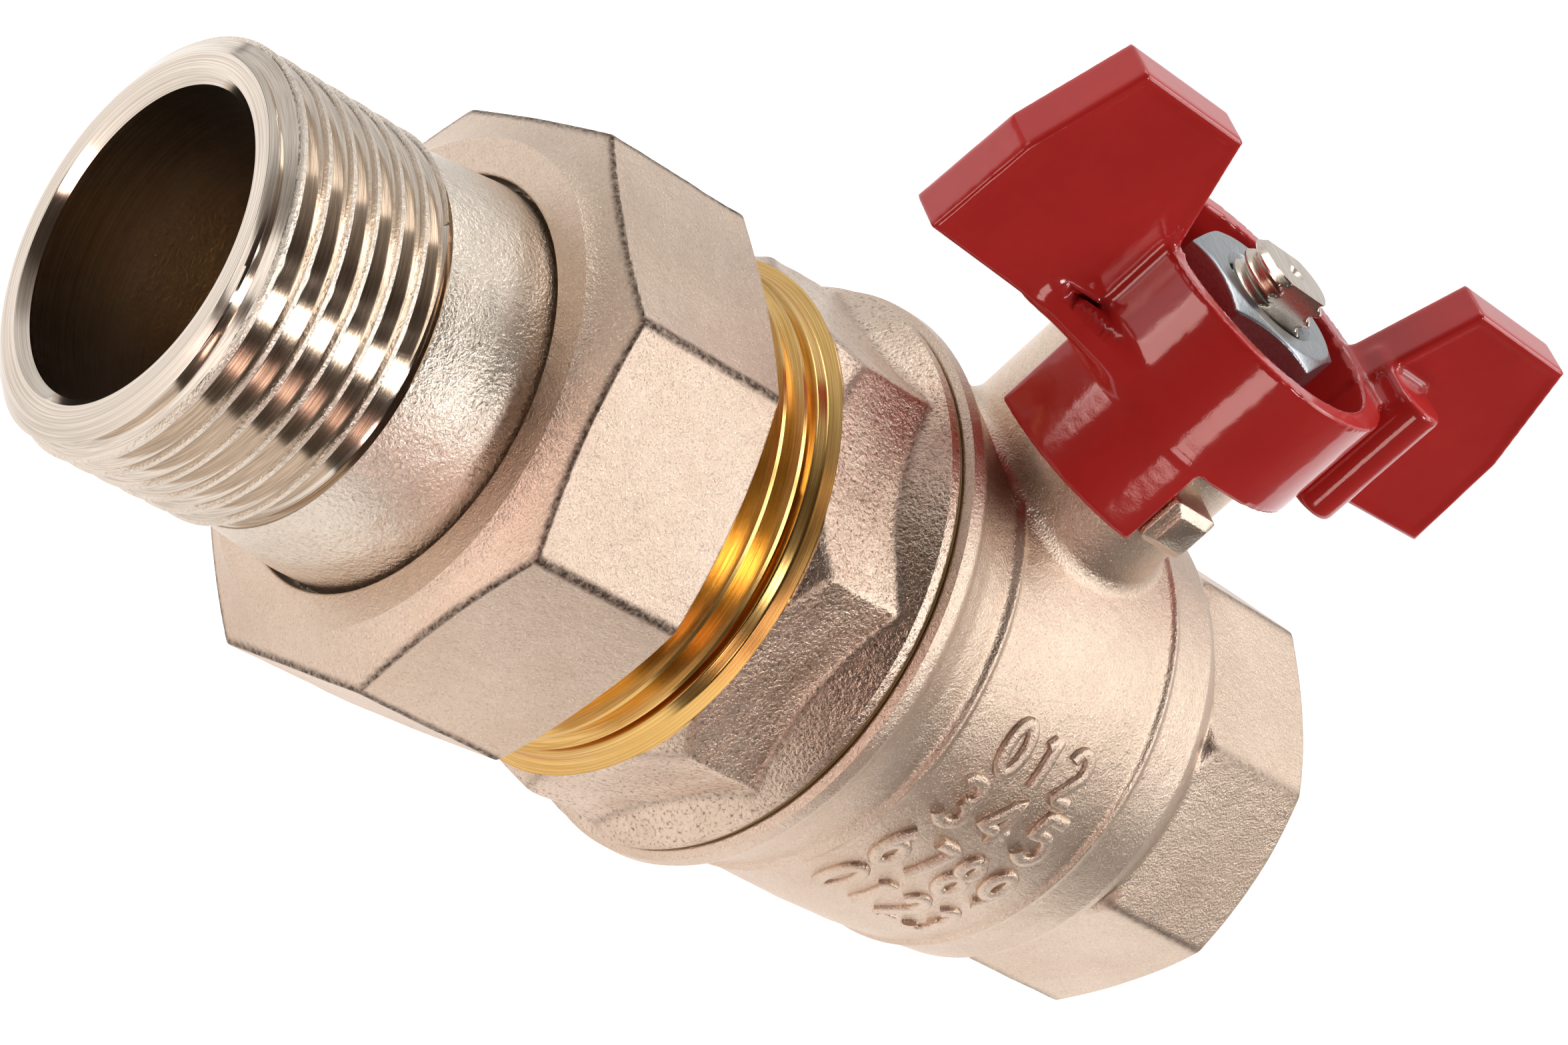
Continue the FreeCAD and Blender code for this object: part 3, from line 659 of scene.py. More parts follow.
def bead(stroke, x0, width, angle):
    """A half-sunk, slightly squared ellipse carried along a stroke, its ends closed like a capsule's."""
    along = np.concatenate([stroke[:1], stroke, stroke[-1:]])
    flat = np.stack([x0 + along[:, 0] * width, (along[:, 1] - 0.5) * DIGIT_H], -1)
    run = np.gradient(flat, axis=0)
    run /= np.maximum(np.linalg.norm(run, axis=1, keepdims=True), 1e-9)
    side = np.stack([-run[:, 1], run[:, 0]], -1)
    taper = np.ones(len(along))
    taper[[0, -1]] = 0
    t = np.linspace(0, TURN, 13)
    wide, high = (np.sign(f) * np.abs(f) ** 0.7 for f in (np.cos(t), np.sin(t)))
    offset = taper[:, None, None] * BEAD_W * wide[None, :, None] * side[:, None, :]
    place = flat[:, None, :] + offset
    place[0] -= run[0] * BEAD_W * 0.8
    place[-1] += run[-1] * BEAD_W * 0.8
    lift = taper[:, None] * BEAD_H * high[None, :]
    r = barrel_radius(place[..., 0]) + 0.02 + lift
    return on_pipe(place[..., 0], r, angle + place[..., 1] / BAND_R)


def numbers():
    """All strokes of the four rows, each row centred on its own angle round the barrel."""
    # digits, station of the first one, step to the next one, angle round the barrel
    rows = (("012", -2.9, 3.5, 23.5), ("345", -4.6, 4.75, 8.5), ("6789", -5.2, 3.75, -7.8),
            ("0123", -5.2, 3.75, -23.6))
    grids = []
    for text, x0, step, angle in rows:
        for i, digit in enumerate(text):
            grids += [bead(s, x0 + i * step, step * 0.74, np.radians(angle)) for s in DIGITS[digit]]
    return make_piece("cast_numbers", grids, "shell", "cast_nickel", crease=60)


numbers()

# %% [markdown]
# The handle
#
# The handle is a die casting under thick paint, so every edge is round and every inner corner is
# filled. Such a shape is easiest to say as a distance: each simple part knows how far a point lies
# from its surface, and a soft minimum of those distances joins the parts with fillets. The mesh
# starts as the engineering handle cut into even cells, and its points slide along the distance's
# slope until they lie where the distance is zero.

# %% Handle as distances
HUB_R, HUB_LOW, HUB_HIGH, HUB_WALL, HUB_FLOOR = 13.5, 33.9, 44.3, 1.9, 3.1
CUP_R, CUP_FLOOR = HUB_R - HUB_WALL, HUB_LOW + HUB_FLOOR
WING = np.array([(10.0, HUB_LOW), (14.5, HUB_LOW), (21.35, 34.3), (31.35, 34.8), (30.7, 44.6),
                 (27.7, 54.6), (15.9, 54.6), (12.2, HUB_HIGH), (10.0, HUB_HIGH)])
CUP = np.array([(-1.0, HUB_LOW), (HUB_R, HUB_LOW), (HUB_R, HUB_HIGH), (CUP_R, HUB_HIGH),
                (CUP_R, CUP_FLOOR), (-1.0, CUP_FLOOR)])
WING_HALF, RIB_X, RIB_R = 2.1, 15.4, 2.5
TAB_LOW, TAB_HALF, TAB_X, TAB_Y = 25.9, 4.3, -3.1, -1.8
HOLE_R, HOLE_HALF_FLATS = 4.05, 2.85
FILLET, TAB_FILLET = 0.9, 0.3


def from_outline(u, v, corners):
    """Signed distance to a closed outline: nearest edge, negative inside by counting crossings."""
    nearest, inside = np.full(u.shape, np.inf), np.zeros(u.shape, bool)
    for (ax, ay), (bx, by) in zip(corners, np.roll(corners, -1, 0)):
        ex, ey, wx, wy = bx - ax, by - ay, u - ax, v - ay
        t = np.clip((wx * ex + wy * ey) / (ex * ex + ey * ey), 0, 1)
        nearest = np.minimum(nearest, (wx - ex * t) ** 2 + (wy - ey * t) ** 2)
        crossed = ((ay > v) != (by > v)) & (u < ex * (v - ay) / (ey if ey else 1e-9) + ax)
        inside ^= crossed
    return np.sqrt(nearest) * np.where(inside, -1, 1)


def slab(flat, across, half, rounding):
    """Distance to a plate of an outline's shape: its edges have the given rounding."""
    a, b = flat + rounding, np.abs(across) - half + rounding
    return np.minimum(np.maximum(a, b), 0) + np.hypot(np.maximum(a, 0), np.maximum(b, 0)) - rounding


def wing_half(x, y, z):
    """One wing with its rib and gusset."""
    outline = from_outline(x, z, WING)
    step_in = 0.16 * np.clip((-outline - 0.75) / 0.2, 0, 1) * (z > 33.5)
    wing = slab(outline, y, WING_HALF - step_in, 0.45)
    rib = soft_max(np.hypot(x - RIB_X, np.maximum(-4.9 - y, 0)) - RIB_R, y, 0.4)
    rib = slab(rib, z - 40.25, 6.35, 0.5)
    gusset = from_outline(x, y, np.array([(19.5, 1.6), (9.0, 1.6), (9.0, 8.0), (10.53, 8.0)]))
    gusset = slab(gusset, z - 35.5, 1.6, 1.1)
    return soft_min(soft_min(wing, rib, FILLET), gusset, FILLET)


def tab_half(x, y, z):
    """One stop tab: a part of a ring below the hub."""
    skirt = np.abs(np.hypot(x, y) - HUB_R + HUB_WALL / 2) - HUB_WALL / 2
    skirt = slab(skirt, z - TAB_LOW - TAB_HALF, TAB_HALF, 0.3)
    return soft_max(skirt, soft_max(x - TAB_X, y - TAB_Y, 0.5), 0.5)


def handle_distance(p):
    """Cup, wings and tabs, each pair half a turn apart, softly joined, less the flatted hole."""
    x, y, z = p.T
    rho = np.hypot(x, y)
    cup = from_outline(rho, z, CUP)
    wings = np.minimum(wing_half(x, y, z), wing_half(-x, -y, z))
    wings = np.maximum(wings, -slab(rho - CUP_R, z - CUP_FLOOR - 10.0, 10.0, 0.6))
    tabs = np.minimum(tab_half(x, y, z), tab_half(-x, -y, z))
    solid = soft_min(soft_min(cup, wings, FILLET), tabs, TAB_FILLET)
    hole = np.maximum(rho - HOLE_R, np.abs(y) - HOLE_HALF_FLATS)
    return soft_max(solid, -hole, 0.3)


def handle(cell=0.34):
    """The engineering handle in even cells, moved onto the zero of the distance in a few steps."""
    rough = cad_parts["handle"]
    mesh = rough.data.copy()
    piece = add_object("handle_cast", mesh)
    for kind, settings in (("WELD", {"merge_threshold": 1e-6}),
                           ("REMESH", {"mode": "VOXEL", "voxel_size": cell * MM})):
        step = piece.modifiers.new(kind, kind)
        for key, value in settings.items():
            setattr(step, key, value)
    even = with_modifiers(piece)
    piece.modifiers.clear()
    piece.data = even
    bpy.data.meshes.remove(mesh)
    p = points_of(even)
    nudge = 0.02
    for _ in range(7):
        d = handle_distance(p)
        slope = np.stack([handle_distance(p + nudge * axis) - d for axis in np.eye(3)], -1) / nudge
        size = np.maximum((slope ** 2).sum(1), 0.2)
        p = p - np.clip(d / size, -0.4, 0.4)[:, None] * slope
    left = np.abs(handle_distance(p))
    even.vertices.foreach_set("co", ((p - (REACH, 0, 0)) * MM).ravel())
    even.materials.clear()
    even.update()
    even.shade_smooth()
    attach(piece, "handle")
    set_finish(piece, "red_paint")
    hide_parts("handle")
    print(f"handle_cast: {len(p)} points, furthest {left.max():.3f} mm off, mean {left.mean():.4f}")
    return piece


handle()

# %% [markdown]
# Stem, nut and washer
#
# The stem is turned, then milled: two flats leave a double D that carries the handle, and a tongue at
# the bottom turns the ball. Each flat is a limit on the radius, its distance over the sine or the
# cosine of the angle, so the whole stem is one surface. The nut is a hexagon cut by two cones.

# %% Stem
STEM_TOP, STEM_THREAD_R, STEM_FLATS, STEM_PITCH = 47.8, 4.0, 5.6, 1.25
GROOVE_R, GROOVE_W, RING_LOW, RING_HIGH = 4.4, 1.7, 23.4, 25.7  # for the two O-rings
TONGUE_X, TONGUE_Y = 2.5, 6.5  # half sizes of the tongue across the pipe and along it
TONGUE_LOW, COLLAR_LOW, SHOULDER, THREAD_LOW = 13.8, 19.0, 33.9, 36.0


def limit(distance, wave):
    """Radius at which a flat at a distance cuts, given the cosine or sine towards it."""
    return distance / np.maximum(np.abs(wave), 1e-6)


def stem():
    """Tongue, collar, shaft with two grooves, and a threaded double D with a dimple on top."""
    theta = np.linspace(0, TURN, 217)
    tongue = np.minimum(limit(TONGUE_X, np.cos(theta)), limit(TONGUE_Y, np.sin(theta)))
    tongue = np.minimum(tongue, 8.0)
    flats = limit(STEM_FLATS / 2, np.sin(theta))
    low_z = np.array([TONGUE_LOW, TONGUE_LOW, TONGUE_LOW + 0.3, COLLAR_LOW])[:, None] + 0 * theta
    low_r = np.stack([0 * tongue, tongue - 0.3, tongue, tongue])
    half = GROOVE_W / 2
    shaft = [(COLLAR_LOW, 7.8), (COLLAR_LOW + 0.2, 8.0), (21.2, 8.0), (21.2, STEM_R)]
    for at in (RING_LOW, RING_HIGH):
        shaft += [(at - half, STEM_R), (at - half, GROOVE_R), (at + half, GROOVE_R), (at + half, STEM_R)]
    shaft += [(SHOULDER - 0.3, STEM_R), (SHOULDER, STEM_R - 0.3)]
    sz, sr = profile_rows(shaft, theta, 0.06, 3)
    plain_z, plain_r = profile_rows([(SHOULDER, STEM_THREAD_R), (THREAD_LOW, STEM_THREAD_R)], theta, 0)
    tz, tr, _ = thread_rows(THREAD_LOW, STEM_TOP - 0.05, 36.6, 3.38, STEM_THREAD_R, theta, 2, STEM_PITCH)
    tr = soft_min(tr, STEM_THREAD_R + (STEM_TOP - 0.5 - tz) * 1.2, 0.05)
    pin_z, pin_r = np.concatenate([plain_z, tz]), np.concatenate([plain_r, tr])
    pin_r = soft_min(pin_r, flats, 0.12)
    dimple = [(STEM_TOP, 2.55), (STEM_TOP, 0.9), (STEM_TOP - 0.6, 0.02), (STEM_TOP - 0.6, 0)]
    top_z, top_r = profile_rows(dimple, theta, 0.05, 3)
    z = np.concatenate([low_z, sz, pin_z, top_z])
    r = np.concatenate([low_r, sr, pin_r, top_r])
    return make_piece("stem_turned", [on_stem(z, r, theta)], "handle", "stem_nickel", "stem", crease=28)


stem()


# %% Handle nut
NUT_LOW, NUT_HIGH, NUT_AF, NUT_TURN = 38.4, 44.9, 14.0, np.radians(40)


def handle_nut():
    """The smallest of a hexagon and a cone at each end, round a countersunk hole."""
    theta = around(6, NUT_TURN, 30)
    z = spread((NUT_LOW, 10), (NUT_LOW + 1.0, 10), (NUT_HIGH - 1.1, 14), (NUT_HIGH, 1))[:, None]
    hexagon = polygon_radius(theta, NUT_AF, 6, NUT_TURN, 0.35)
    top = 6.75 + (NUT_HIGH - z) * 1.85
    foot = 6.75 + (z - NUT_LOW) * 1.85
    side = soft_min(hexagon, soft_min(top, foot, 0.1), 0.22)
    hole = profile_rows([(NUT_HIGH, 6.4), (NUT_HIGH, 4.75), (NUT_HIGH - 0.7, 4.05), (NUT_LOW, 4.05),
                         (NUT_LOW, 6.4)], theta, 0.15, 4)
    loop = loop_of((np.broadcast_to(z, side.shape), side), hole)
    return make_piece("handle_nut_hexagon", [on_stem(*loop, theta)], "handle", "zinc_steel", "handle_nut")


handle_nut()


# %% Spring washer
def spring_washer():
    """A rounded rectangle carried round the stem, stopped at a slanted split and closed there."""
    low, high, inner, outer = NUT_LOW - 1.39, NUT_LOW - 0.01, 4.15, 6.9
    section = softened([(low, inner), (low, outer), (high, outer), (high, inner)], 0.25, 4)
    section = np.concatenate([section, section[:1]])
    middle = section[:-1].mean(0)
    gap, turn = np.radians(205), np.radians(6)
    along = np.linspace(gap + turn, gap + TURN - turn, 90)
    along = np.concatenate([along[:1], along, along[-1:]])[:, None]
    closed = np.ones((len(along), 1))
    closed[[0, -1]] = 0
    z = middle[0] + (section[:, 0] - middle[0]) * closed
    r = middle[1] + (section[:, 1] - middle[1]) * closed
    slant = (z - middle[0]) * 0.09
    return make_piece("spring_washer_split", [on_stem(z, r, along + slant)], "handle", "zinc_steel",
                      "spring_washer")


spring_washer()


# %% [markdown]
# The gland and the soft rings
#
# Inside, the stem is sealed by two packing rings under a brass gland ring and a gland nut, which is
# screwed down with a six-sided key. Every other seal is a ring with a simple section: a seat with a
# hollow that fits the ball, a flat gasket, a round O-ring. One function turns any outline into a
# ring, about the pipe or about the stem, so each of these needs only its outline.

# %% Rings
BALL_R, BALL_GAP = 18.5, 0.05
O_RING_R, O_RING_HALF = 5.2, 0.74


def ring(name, outline, about, body_name, slot, node, radius=0.12, columns=145):
    """A closed outline of (station, radius) corners, softened and carried once round the axis."""
    angle = np.linspace(0, TURN, columns)
    outline = softened(outline, radius, 4) if radius else np.array(outline)
    outline = np.concatenate([outline, outline[:1]])
    return make_piece(name, [about(outline[:, :1], outline[:, 1:], angle)], body_name, slot, node)


def flat_outline(start, end, inner, outer):
    """A rectangle between two stations and two radii."""
    return [(start, inner), (start, outer), (end, outer), (end, inner)]


def seat_outline(side):
    """Flat back and sides, and a front hollowed by the ball's own circle."""
    back, front, inner, outer = -SEAT_BACK * side, 10.93 * side, 13.0, 17.6
    r = np.linspace(inner, 14.96, 9)
    hollow = [(side * np.sqrt((BALL_R + BALL_GAP) ** 2 - v * v), v) for v in r]
    return [(back, inner)] + hollow + [(front, 14.99), (front, outer), (back, outer)]


circle = np.linspace(0, TURN, 17)[:-1]
for name, side in (("outlet", 1), ("inlet", -1)):
    ring(f"seat_{name}_turned", seat_outline(side), on_pipe, "shell", "seat_ptfe", f"seat_ring_{name}",
         0.05)
ring("union_gasket_flat", flat_outline(-49.19, -47.51, 13.4, 18.35), on_pipe, "shell", "gasket_rubber",
     "union_gasket")
ring("joint_sealant_bead", [(-17.69, 21.35), (-17.69, 24.0), (-17.5, 24.19), (-17.31, 24.0),
                            (-17.31, 21.35)], on_pipe, "shell", "joint_sealant", "joint_seal", 0.05)
ring("thrust_washer_flat", flat_outline(21.22, 21.93, 6.12, 7.98), on_stem, "handle", "seat_ptfe",
     "stem_thrust_washer", 0.1)
for level, z in (("lower", RING_LOW), ("upper", RING_HIGH)):
    outline = np.stack([z + O_RING_HALF * np.sin(circle), O_RING_R + O_RING_HALF * np.cos(circle)], -1)
    ring(f"o_ring_{level}_round", outline, on_stem, "handle", "o_ring_rubber", f"stem_o_ring_{level}", 0)
for level, z in (("lower", 27.01), ("upper", 28.21)):
    ring(f"packing_{level}_flat", flat_outline(z, z + 1.18, 6.08, 8.52), on_stem, "shell", "seat_ptfe",
         f"packing_ring_{level}")
ring("gland_ring_turned", flat_outline(29.41, 29.99, 6.12, 8.48), on_stem, "shell", "gland_brass",
     "gland_ring", 0.08)


# %% Gland nut and ball
def gland_nut():
    """A threaded ring with a six-sided socket in its upper face."""
    theta = around(6, 0.0, 24)
    bottom, top, socket_floor = 30.02, 33.19, 31.8
    zx, zr, _ = thread_rows(bottom + 0.03, top - 0.19, 30.3, 8.15, 8.53, theta, 2, 1.0)
    foot = profile_rows([(socket_floor, 6.05), (bottom, 6.05), (bottom, 8.1)], theta, 0.12, 4)
    rim = profile_rows([(top - 0.19, 8.1), (top, 7.98), (top, 7.9)], theta, 0.05, 3)
    socket = polygon_radius(theta, 13.8, 6, 0.0, 0.25)
    z = np.array([top, top - 0.09, socket_floor + 0.05, socket_floor])[:, None] + 0 * theta
    r = np.array([0.1, 0.0, 0.0, -0.1])[:, None] + socket
    loop = loop_of(foot, (zx, zr), rim, (z, r))
    return make_piece("gland_nut_socket", [on_stem(*loop, theta)], "shell", "gland_brass", "gland_nut")


def ball():
    """A sphere with a round bore, a rounded edge between them, and a slot cut for the stem."""
    phi = np.linspace(0, TURN, 181)
    edge = np.arccos(FLOW / BALL_R)
    t = np.linspace(edge - 0.035, -edge + 0.035, 90)
    outline = np.concatenate([np.stack([BALL_R * np.sin(t), BALL_R * np.cos(t)], -1),
                              [(-13.35, FLOW + 0.12), (-13.2, FLOW), (13.2, FLOW), (13.35, FLOW + 0.12)]])
    outline = np.concatenate([outline, outline[:1]])
    piece = make_piece("ball_polished", [on_pipe(outline[:, :1], outline[:, 1:], phi)], "ball",
                       "ball_chrome", "ball")
    slot = np.array([(13.6, 0), (13.6, 1), (20.0, 1), (20.0, 0)])
    theta = np.linspace(0, TURN, 217)
    reach = np.minimum(limit(TONGUE_X + 0.05, np.cos(theta)), limit(TONGUE_Y + 0.05, np.sin(theta)))
    boolean(piece, loose("slot_tool", on_stem(slot[:, :1], slot[:, 1:] * reach, theta)), "DIFFERENCE")
    smooth(piece.data, 32)
    return piece


gland_nut()
ball()

# %% [markdown]
# Shared effects
#
# The finishes have a few things in common: the grain left by blasting, the fine lines left by a
# lathe, slow patches in the tone, and a painted shade, which is a dark line along edges. Each is a node
# group that only gives out values. They read the piece's own coordinates in the model, so the
# pattern stays on the metal when the piece moves.

# %% Node groups
def feed(tree, node, inputs):
    """Gives a node's inputs numbers or sockets, each called by its name, or by its place as in i0."""
    for key, value in inputs.items():
        socket = node.inputs[int(key[1:])] if key[0] == "i" and key[1:].isdigit() else node.inputs[key]
        if isinstance(value, bpy.types.NodeSocket):
            tree.links.new(value, socket)
        else:
            socket.default_value = value


def put(tree, kind, settings=None, **inputs):
    """A new node with its properties set and its inputs fed."""
    node = tree.nodes.new("ShaderNode" + kind)
    for key, value in (settings or {}).items():
        setattr(node, key, value)
    feed(tree, node, inputs)
    return node


def sums(tree, operation, a, b=0.5, c=0.5, clamp=False):
    """The result of one Math node."""
    return put(tree, "Math", {"operation": operation, "use_clamp": clamp}, i0=a, i1=b, i2=c).outputs[0]


def blend(tree, factor, a, b):
    """Mix of two numbers or of two colours."""
    if isinstance(a, tuple) or isinstance(b, tuple) or getattr(a, "type", "") == "RGBA":
        node = put(tree, "Mix", {"data_type": "RGBA"}, i0=factor, i6=a, i7=b)
        return node.outputs[2]
    return put(tree, "Mix", i0=factor, i2=a, i3=b).outputs[0]


def noise(tree, scale, detail=2.0, stretch=(1, 1, 1), roughness=0.5):
    """Noise of the object's own coordinates, with cells of about 1/scale metres."""
    here = put(tree, "TexCoord").outputs["Object"]
    if stretch != (1, 1, 1):
        here = put(tree, "VectorMath", {"operation": "MULTIPLY"}, i0=here, i1=stretch).outputs[0]
    cells = put(tree, "TexNoise", Vector=here, Scale=scale, Detail=detail, Roughness=roughness)
    return cells.outputs["Fac"]


def shared(name, inputs, outputs, build):
    """A node group: build(tree, inputs) returns one socket for each output."""
    tree = bpy.data.node_groups.new(name, "ShaderNodeTree")
    for key, value in inputs.items():
        tree.interface.new_socket(key, in_out="INPUT", socket_type="NodeSocketFloat").default_value = value
    for key in outputs:
        tree.interface.new_socket(key, in_out="OUTPUT", socket_type="NodeSocketFloat")
    entry, end = tree.nodes.new("NodeGroupInput"), tree.nodes.new("NodeGroupOutput")
    for key, socket in zip(outputs, build(tree, entry.outputs)):
        tree.links.new(socket, end.inputs[key])
    return tree


def use(tree, group, **inputs):
    """The outputs of a node group placed in a tree."""
    return put(tree, "Group", {"node_tree": group}, **inputs).outputs


def grain_nodes(tree, given):
    """Fine noise on coarse noise as a height, its rare high spots as flecks, its low ones as pits."""
    fine = noise(tree, given["Scale"], 3.0, roughness=0.65)
    coarse = noise(tree, sums(tree, "MULTIPLY", given["Scale"], 0.22), 2.0)
    height = sums(tree, "MULTIPLY_ADD", coarse, 0.8, fine)
    flecks = sums(tree, "MULTIPLY", sums(tree, "SUBTRACT", fine, 0.58), 7.0, clamp=True)
    pits = sums(tree, "MULTIPLY", sums(tree, "SUBTRACT", 0.46, fine), 6.0, clamp=True)
    return height, flecks, pits


def turning_nodes(tree, given):
    """Noise of the place along the pipe and the distance from its axis: rings round the pipe."""
    here = put(tree, "SeparateXYZ", Vector=put(tree, "TexCoord").outputs["Object"])
    far = sums(tree, "SQRT", sums(tree, "ADD", sums(tree, "MULTIPLY", here.outputs["Y"], here.outputs["Y"]),
               sums(tree, "MULTIPLY", here.outputs["Z"], here.outputs["Z"])))
    round_it = sums(tree, "MULTIPLY", here.outputs["Y"], 0.01)
    ring_at = put(tree, "CombineXYZ", X=here.outputs["X"], Y=far, Z=round_it).outputs[0]
    lines = put(tree, "TexNoise", Vector=ring_at, Scale=given["Scale"], Detail=2.0, Roughness=0.7)
    streaks = sums(tree, "MULTIPLY_ADD", lines.outputs["Fac"], 4.0, -1.5, clamp=True)
    return lines.outputs["Fac"], streaks


def patch_nodes(tree, given):
    """Slow patches between 0 and 1, with a little finer mottling in them."""
    slow, fine = noise(tree, given["Scale"], 2.0), noise(tree, 900.0, 2.0)
    both = sums(tree, "MULTIPLY_ADD", fine, 0.35, slow)
    return [sums(tree, "MULTIPLY", sums(tree, "SUBTRACT", both, 0.45), 2.2, clamp=True)]


def shade_line_nodes(tree, given):
    """A painted shade line along an edge, broken up by noise."""
    broken = sums(tree, "MULTIPLY_ADD", noise(tree, 2400.0, 3.0, roughness=0.7), 1.9, -0.15)
    return [sums(tree, "MULTIPLY", given["Worn"], broken, clamp=True)]


GRAIN = shared("grain", {"Scale": 4200.0}, ("Height", "Flecks", "Pits"), grain_nodes)
TURNING = shared("turning_lines", {"Scale": 9000.0}, ("Height", "Streaks"), turning_nodes)
PATCHES = shared("patches", {"Scale": 90.0}, ("Mask",), patch_nodes)
SHADE_LINES = shared("painted_edge_lines", {"Worn": 0.0}, ("Mask",), shade_line_nodes)
print("groups:", [g.name for g in bpy.data.node_groups])

# %% [markdown]
# Metals
#
# All metal here is one of two kinds of surface: turned and bright, or forged, blasted and dull. A
# value on the points says which. Blasted nickel is a warm grey, because the plating is thin over
# yellow brass, and it scatters light into a soft sheen. Its small sparkles are painted glints, which are
# near-white and smoother flecks in its colour. Cut brass is bare.

# %% Metals
# The first colour darkens the grain's pits, and it is also painted along edges as shade. The second paints
# glints into the grain as near-white flecks.
PIT_AND_SHADE_COLOUR, SPARKLE = (0.085, 0.06, 0.045, 1), (0.95, 0.9, 0.84, 1)


def start_material(name):
    """A new material, its node tree and its Principled node."""
    material = bpy.data.materials.new(name)
    material.use_nodes = True
    tree = material.node_tree
    return material, tree, tree.nodes["Principled BSDF"]


def metal(name, turned, forged, mask, grain=5000.0, depth=0.02, lines=0.002, pits=0.3):
    """turned and forged are (colour, other colour, roughness), mask is (attribute, value when forged),
    depth and lines are the heights in mm of the grain and of the lathe's lines."""
    material, tree, surface = start_material(name)
    kind = put(tree, "Attribute", {"attribute_name": mask[0]}).outputs["Fac"]
    is_forged = kind if mask[1] else sums(tree, "SUBTRACT", 1.0, kind)
    worn = put(tree, "Attribute", {"attribute_name": "worn"}).outputs["Fac"]
    grains, patches = use(tree, GRAIN, Scale=grain), use(tree, PATCHES)["Mask"]
    turning = use(tree, TURNING)
    painted_shade = use(tree, SHADE_LINES, Worn=worn)["Mask"]
    bright = blend(tree, patches, turned[0] + (1,), turned[1] + (1,))
    bright = blend(tree, turning["Streaks"], tuple(0.72 * v for v in turned[0]) + (1,), bright)
    dull = blend(tree, patches, forged[0] + (1,), forged[1] + (1,))
    # painted glints: the grain's high spots are turned near white
    dull = blend(tree, sums(tree, "MULTIPLY", grains["Flecks"], 0.35), dull, SPARKLE)
    dull = blend(tree, sums(tree, "MULTIPLY", grains["Pits"], pits), dull, PIT_AND_SHADE_COLOUR)
    colour = blend(tree, is_forged, bright, dull)
    # painted shade: a dark line along the marked edges
    colour = blend(tree, painted_shade, colour, PIT_AND_SHADE_COLOUR)
    dull_rough = sums(tree, "MULTIPLY_ADD", grains["Flecks"], -0.14, forged[2])
    bright_rough = sums(tree, "MULTIPLY_ADD", patches, 0.06, turned[2])
    rough = blend(tree, is_forged, bright_rough, dull_rough)
    rough = sums(tree, "MULTIPLY_ADD", painted_shade, 0.25, rough)
    height = blend(tree, is_forged, sums(tree, "MULTIPLY", turning["Height"], lines),
                   sums(tree, "MULTIPLY", grains["Height"], depth))
    bump = put(tree, "Bump", Strength=1.0, Distance=MM, Height=height)
    feed(tree, surface, {"Base Color": colour, "Roughness": rough, "Normal": bump.outputs[0],
                         "Metallic": 1.0})
    return material


WARM, WARM_2 = (0.68, 0.52, 0.40), (0.77, 0.61, 0.49)  # blasted nickel and its paler patches
THIN, THIN_2 = (0.62, 0.465, 0.355), (0.84, 0.66, 0.53)  # thinner plating, on the connector
PALE, PALE_2 = (0.74, 0.635, 0.53), (0.84, 0.745, 0.64)  # the tail's neck
CUT, CUT_2 = (0.76, 0.655, 0.555), (0.83, 0.73, 0.63)  # nickel over a turned surface
GOLD, GOLD_2 = (0.84, 0.50, 0.15), (0.88, 0.60, 0.25)  # bare brass
materials = {
    "cast_nickel": metal("cast_nickel", (CUT, CUT_2, 0.3), (WARM, WARM_2, 0.31), ("cut", 0), depth=0.08),
    "nut_nickel": metal("nut_nickel", (CUT, CUT_2, 0.24), (WARM, WARM_2, 0.3), ("cut", 0), depth=0.09),
    "connector_brass": metal("connector_brass", (GOLD, GOLD_2, 0.2), (THIN, THIN_2, 0.29), ("brass", 0),
                             grain=3200.0, depth=0.11, pits=0.8),
    "bright_nickel": metal("bright_nickel", (CUT, CUT_2, 0.09), (PALE, PALE_2, 0.3), ("grainy", 1),
                           grain=3000.0, depth=0.11),
    "stem_nickel": metal("stem_nickel", (CUT, CUT_2, 0.2), (CUT, CUT_2, 0.2), ("grainy", 1), lines=0.003),
    "gland_brass": metal("gland_brass", (GOLD, GOLD_2, 0.22), (GOLD, GOLD_2, 0.22), ("grainy", 1)),
    "zinc_steel": metal("zinc_steel", ((0.42, 0.44, 0.46), (0.5, 0.52, 0.53), 0.33),
                        ((0.5, 0.5, 0.5), (0.6, 0.6, 0.6), 0.3), ("grainy", 1), lines=0.004),
    "ball_chrome": metal("ball_chrome", ((0.74, 0.75, 0.76), (0.78, 0.79, 0.8), 0.06),
                         ((0.7, 0.7, 0.7), (0.7, 0.7, 0.7), 0.1), ("grainy", 1), lines=0.001),
}

# %% [markdown]
# Paint and soft parts
#
# The handle's paint is thick and glossy: a red layer under a clear skin that is not quite flat, so
# its highlights have slightly uneven edges. Seats and packing are white fluoropolymer, the O-rings
# and the gasket are rubber, and the joint is sealed with a brownish liquid that has set.

# %% Paint and soft parts
def coated(name, colour, other, roughness, coat, peel):
    """A layered or soft surface: slow patches of two colours under a skin with waves `peel` mm high."""
    material, tree, surface = start_material(name)
    patches = use(tree, PATCHES, Scale=140.0)["Mask"]
    grains = use(tree, GRAIN, Scale=5200.0)["Height"]
    waves = sums(tree, "MULTIPLY", noise(tree, 700.0, 1.0), peel)
    height = sums(tree, "MULTIPLY_ADD", grains, 0.004, waves)
    bump = put(tree, "Bump", Strength=1.0, Distance=MM, Height=height)
    rough = sums(tree, "MULTIPLY_ADD", patches, 0.08, roughness)
    mixed = blend(tree, patches, colour + (1,), other + (1,))
    feed(tree, surface, {"Base Color": mixed, "Roughness": rough, "Normal": bump.outputs[0],
                         "Coat Normal": bump.outputs[0], "Coat Weight": coat, "Coat Roughness": 0.07,
                         "Specular IOR Level": 0.5 - 0.35 * coat})
    return material


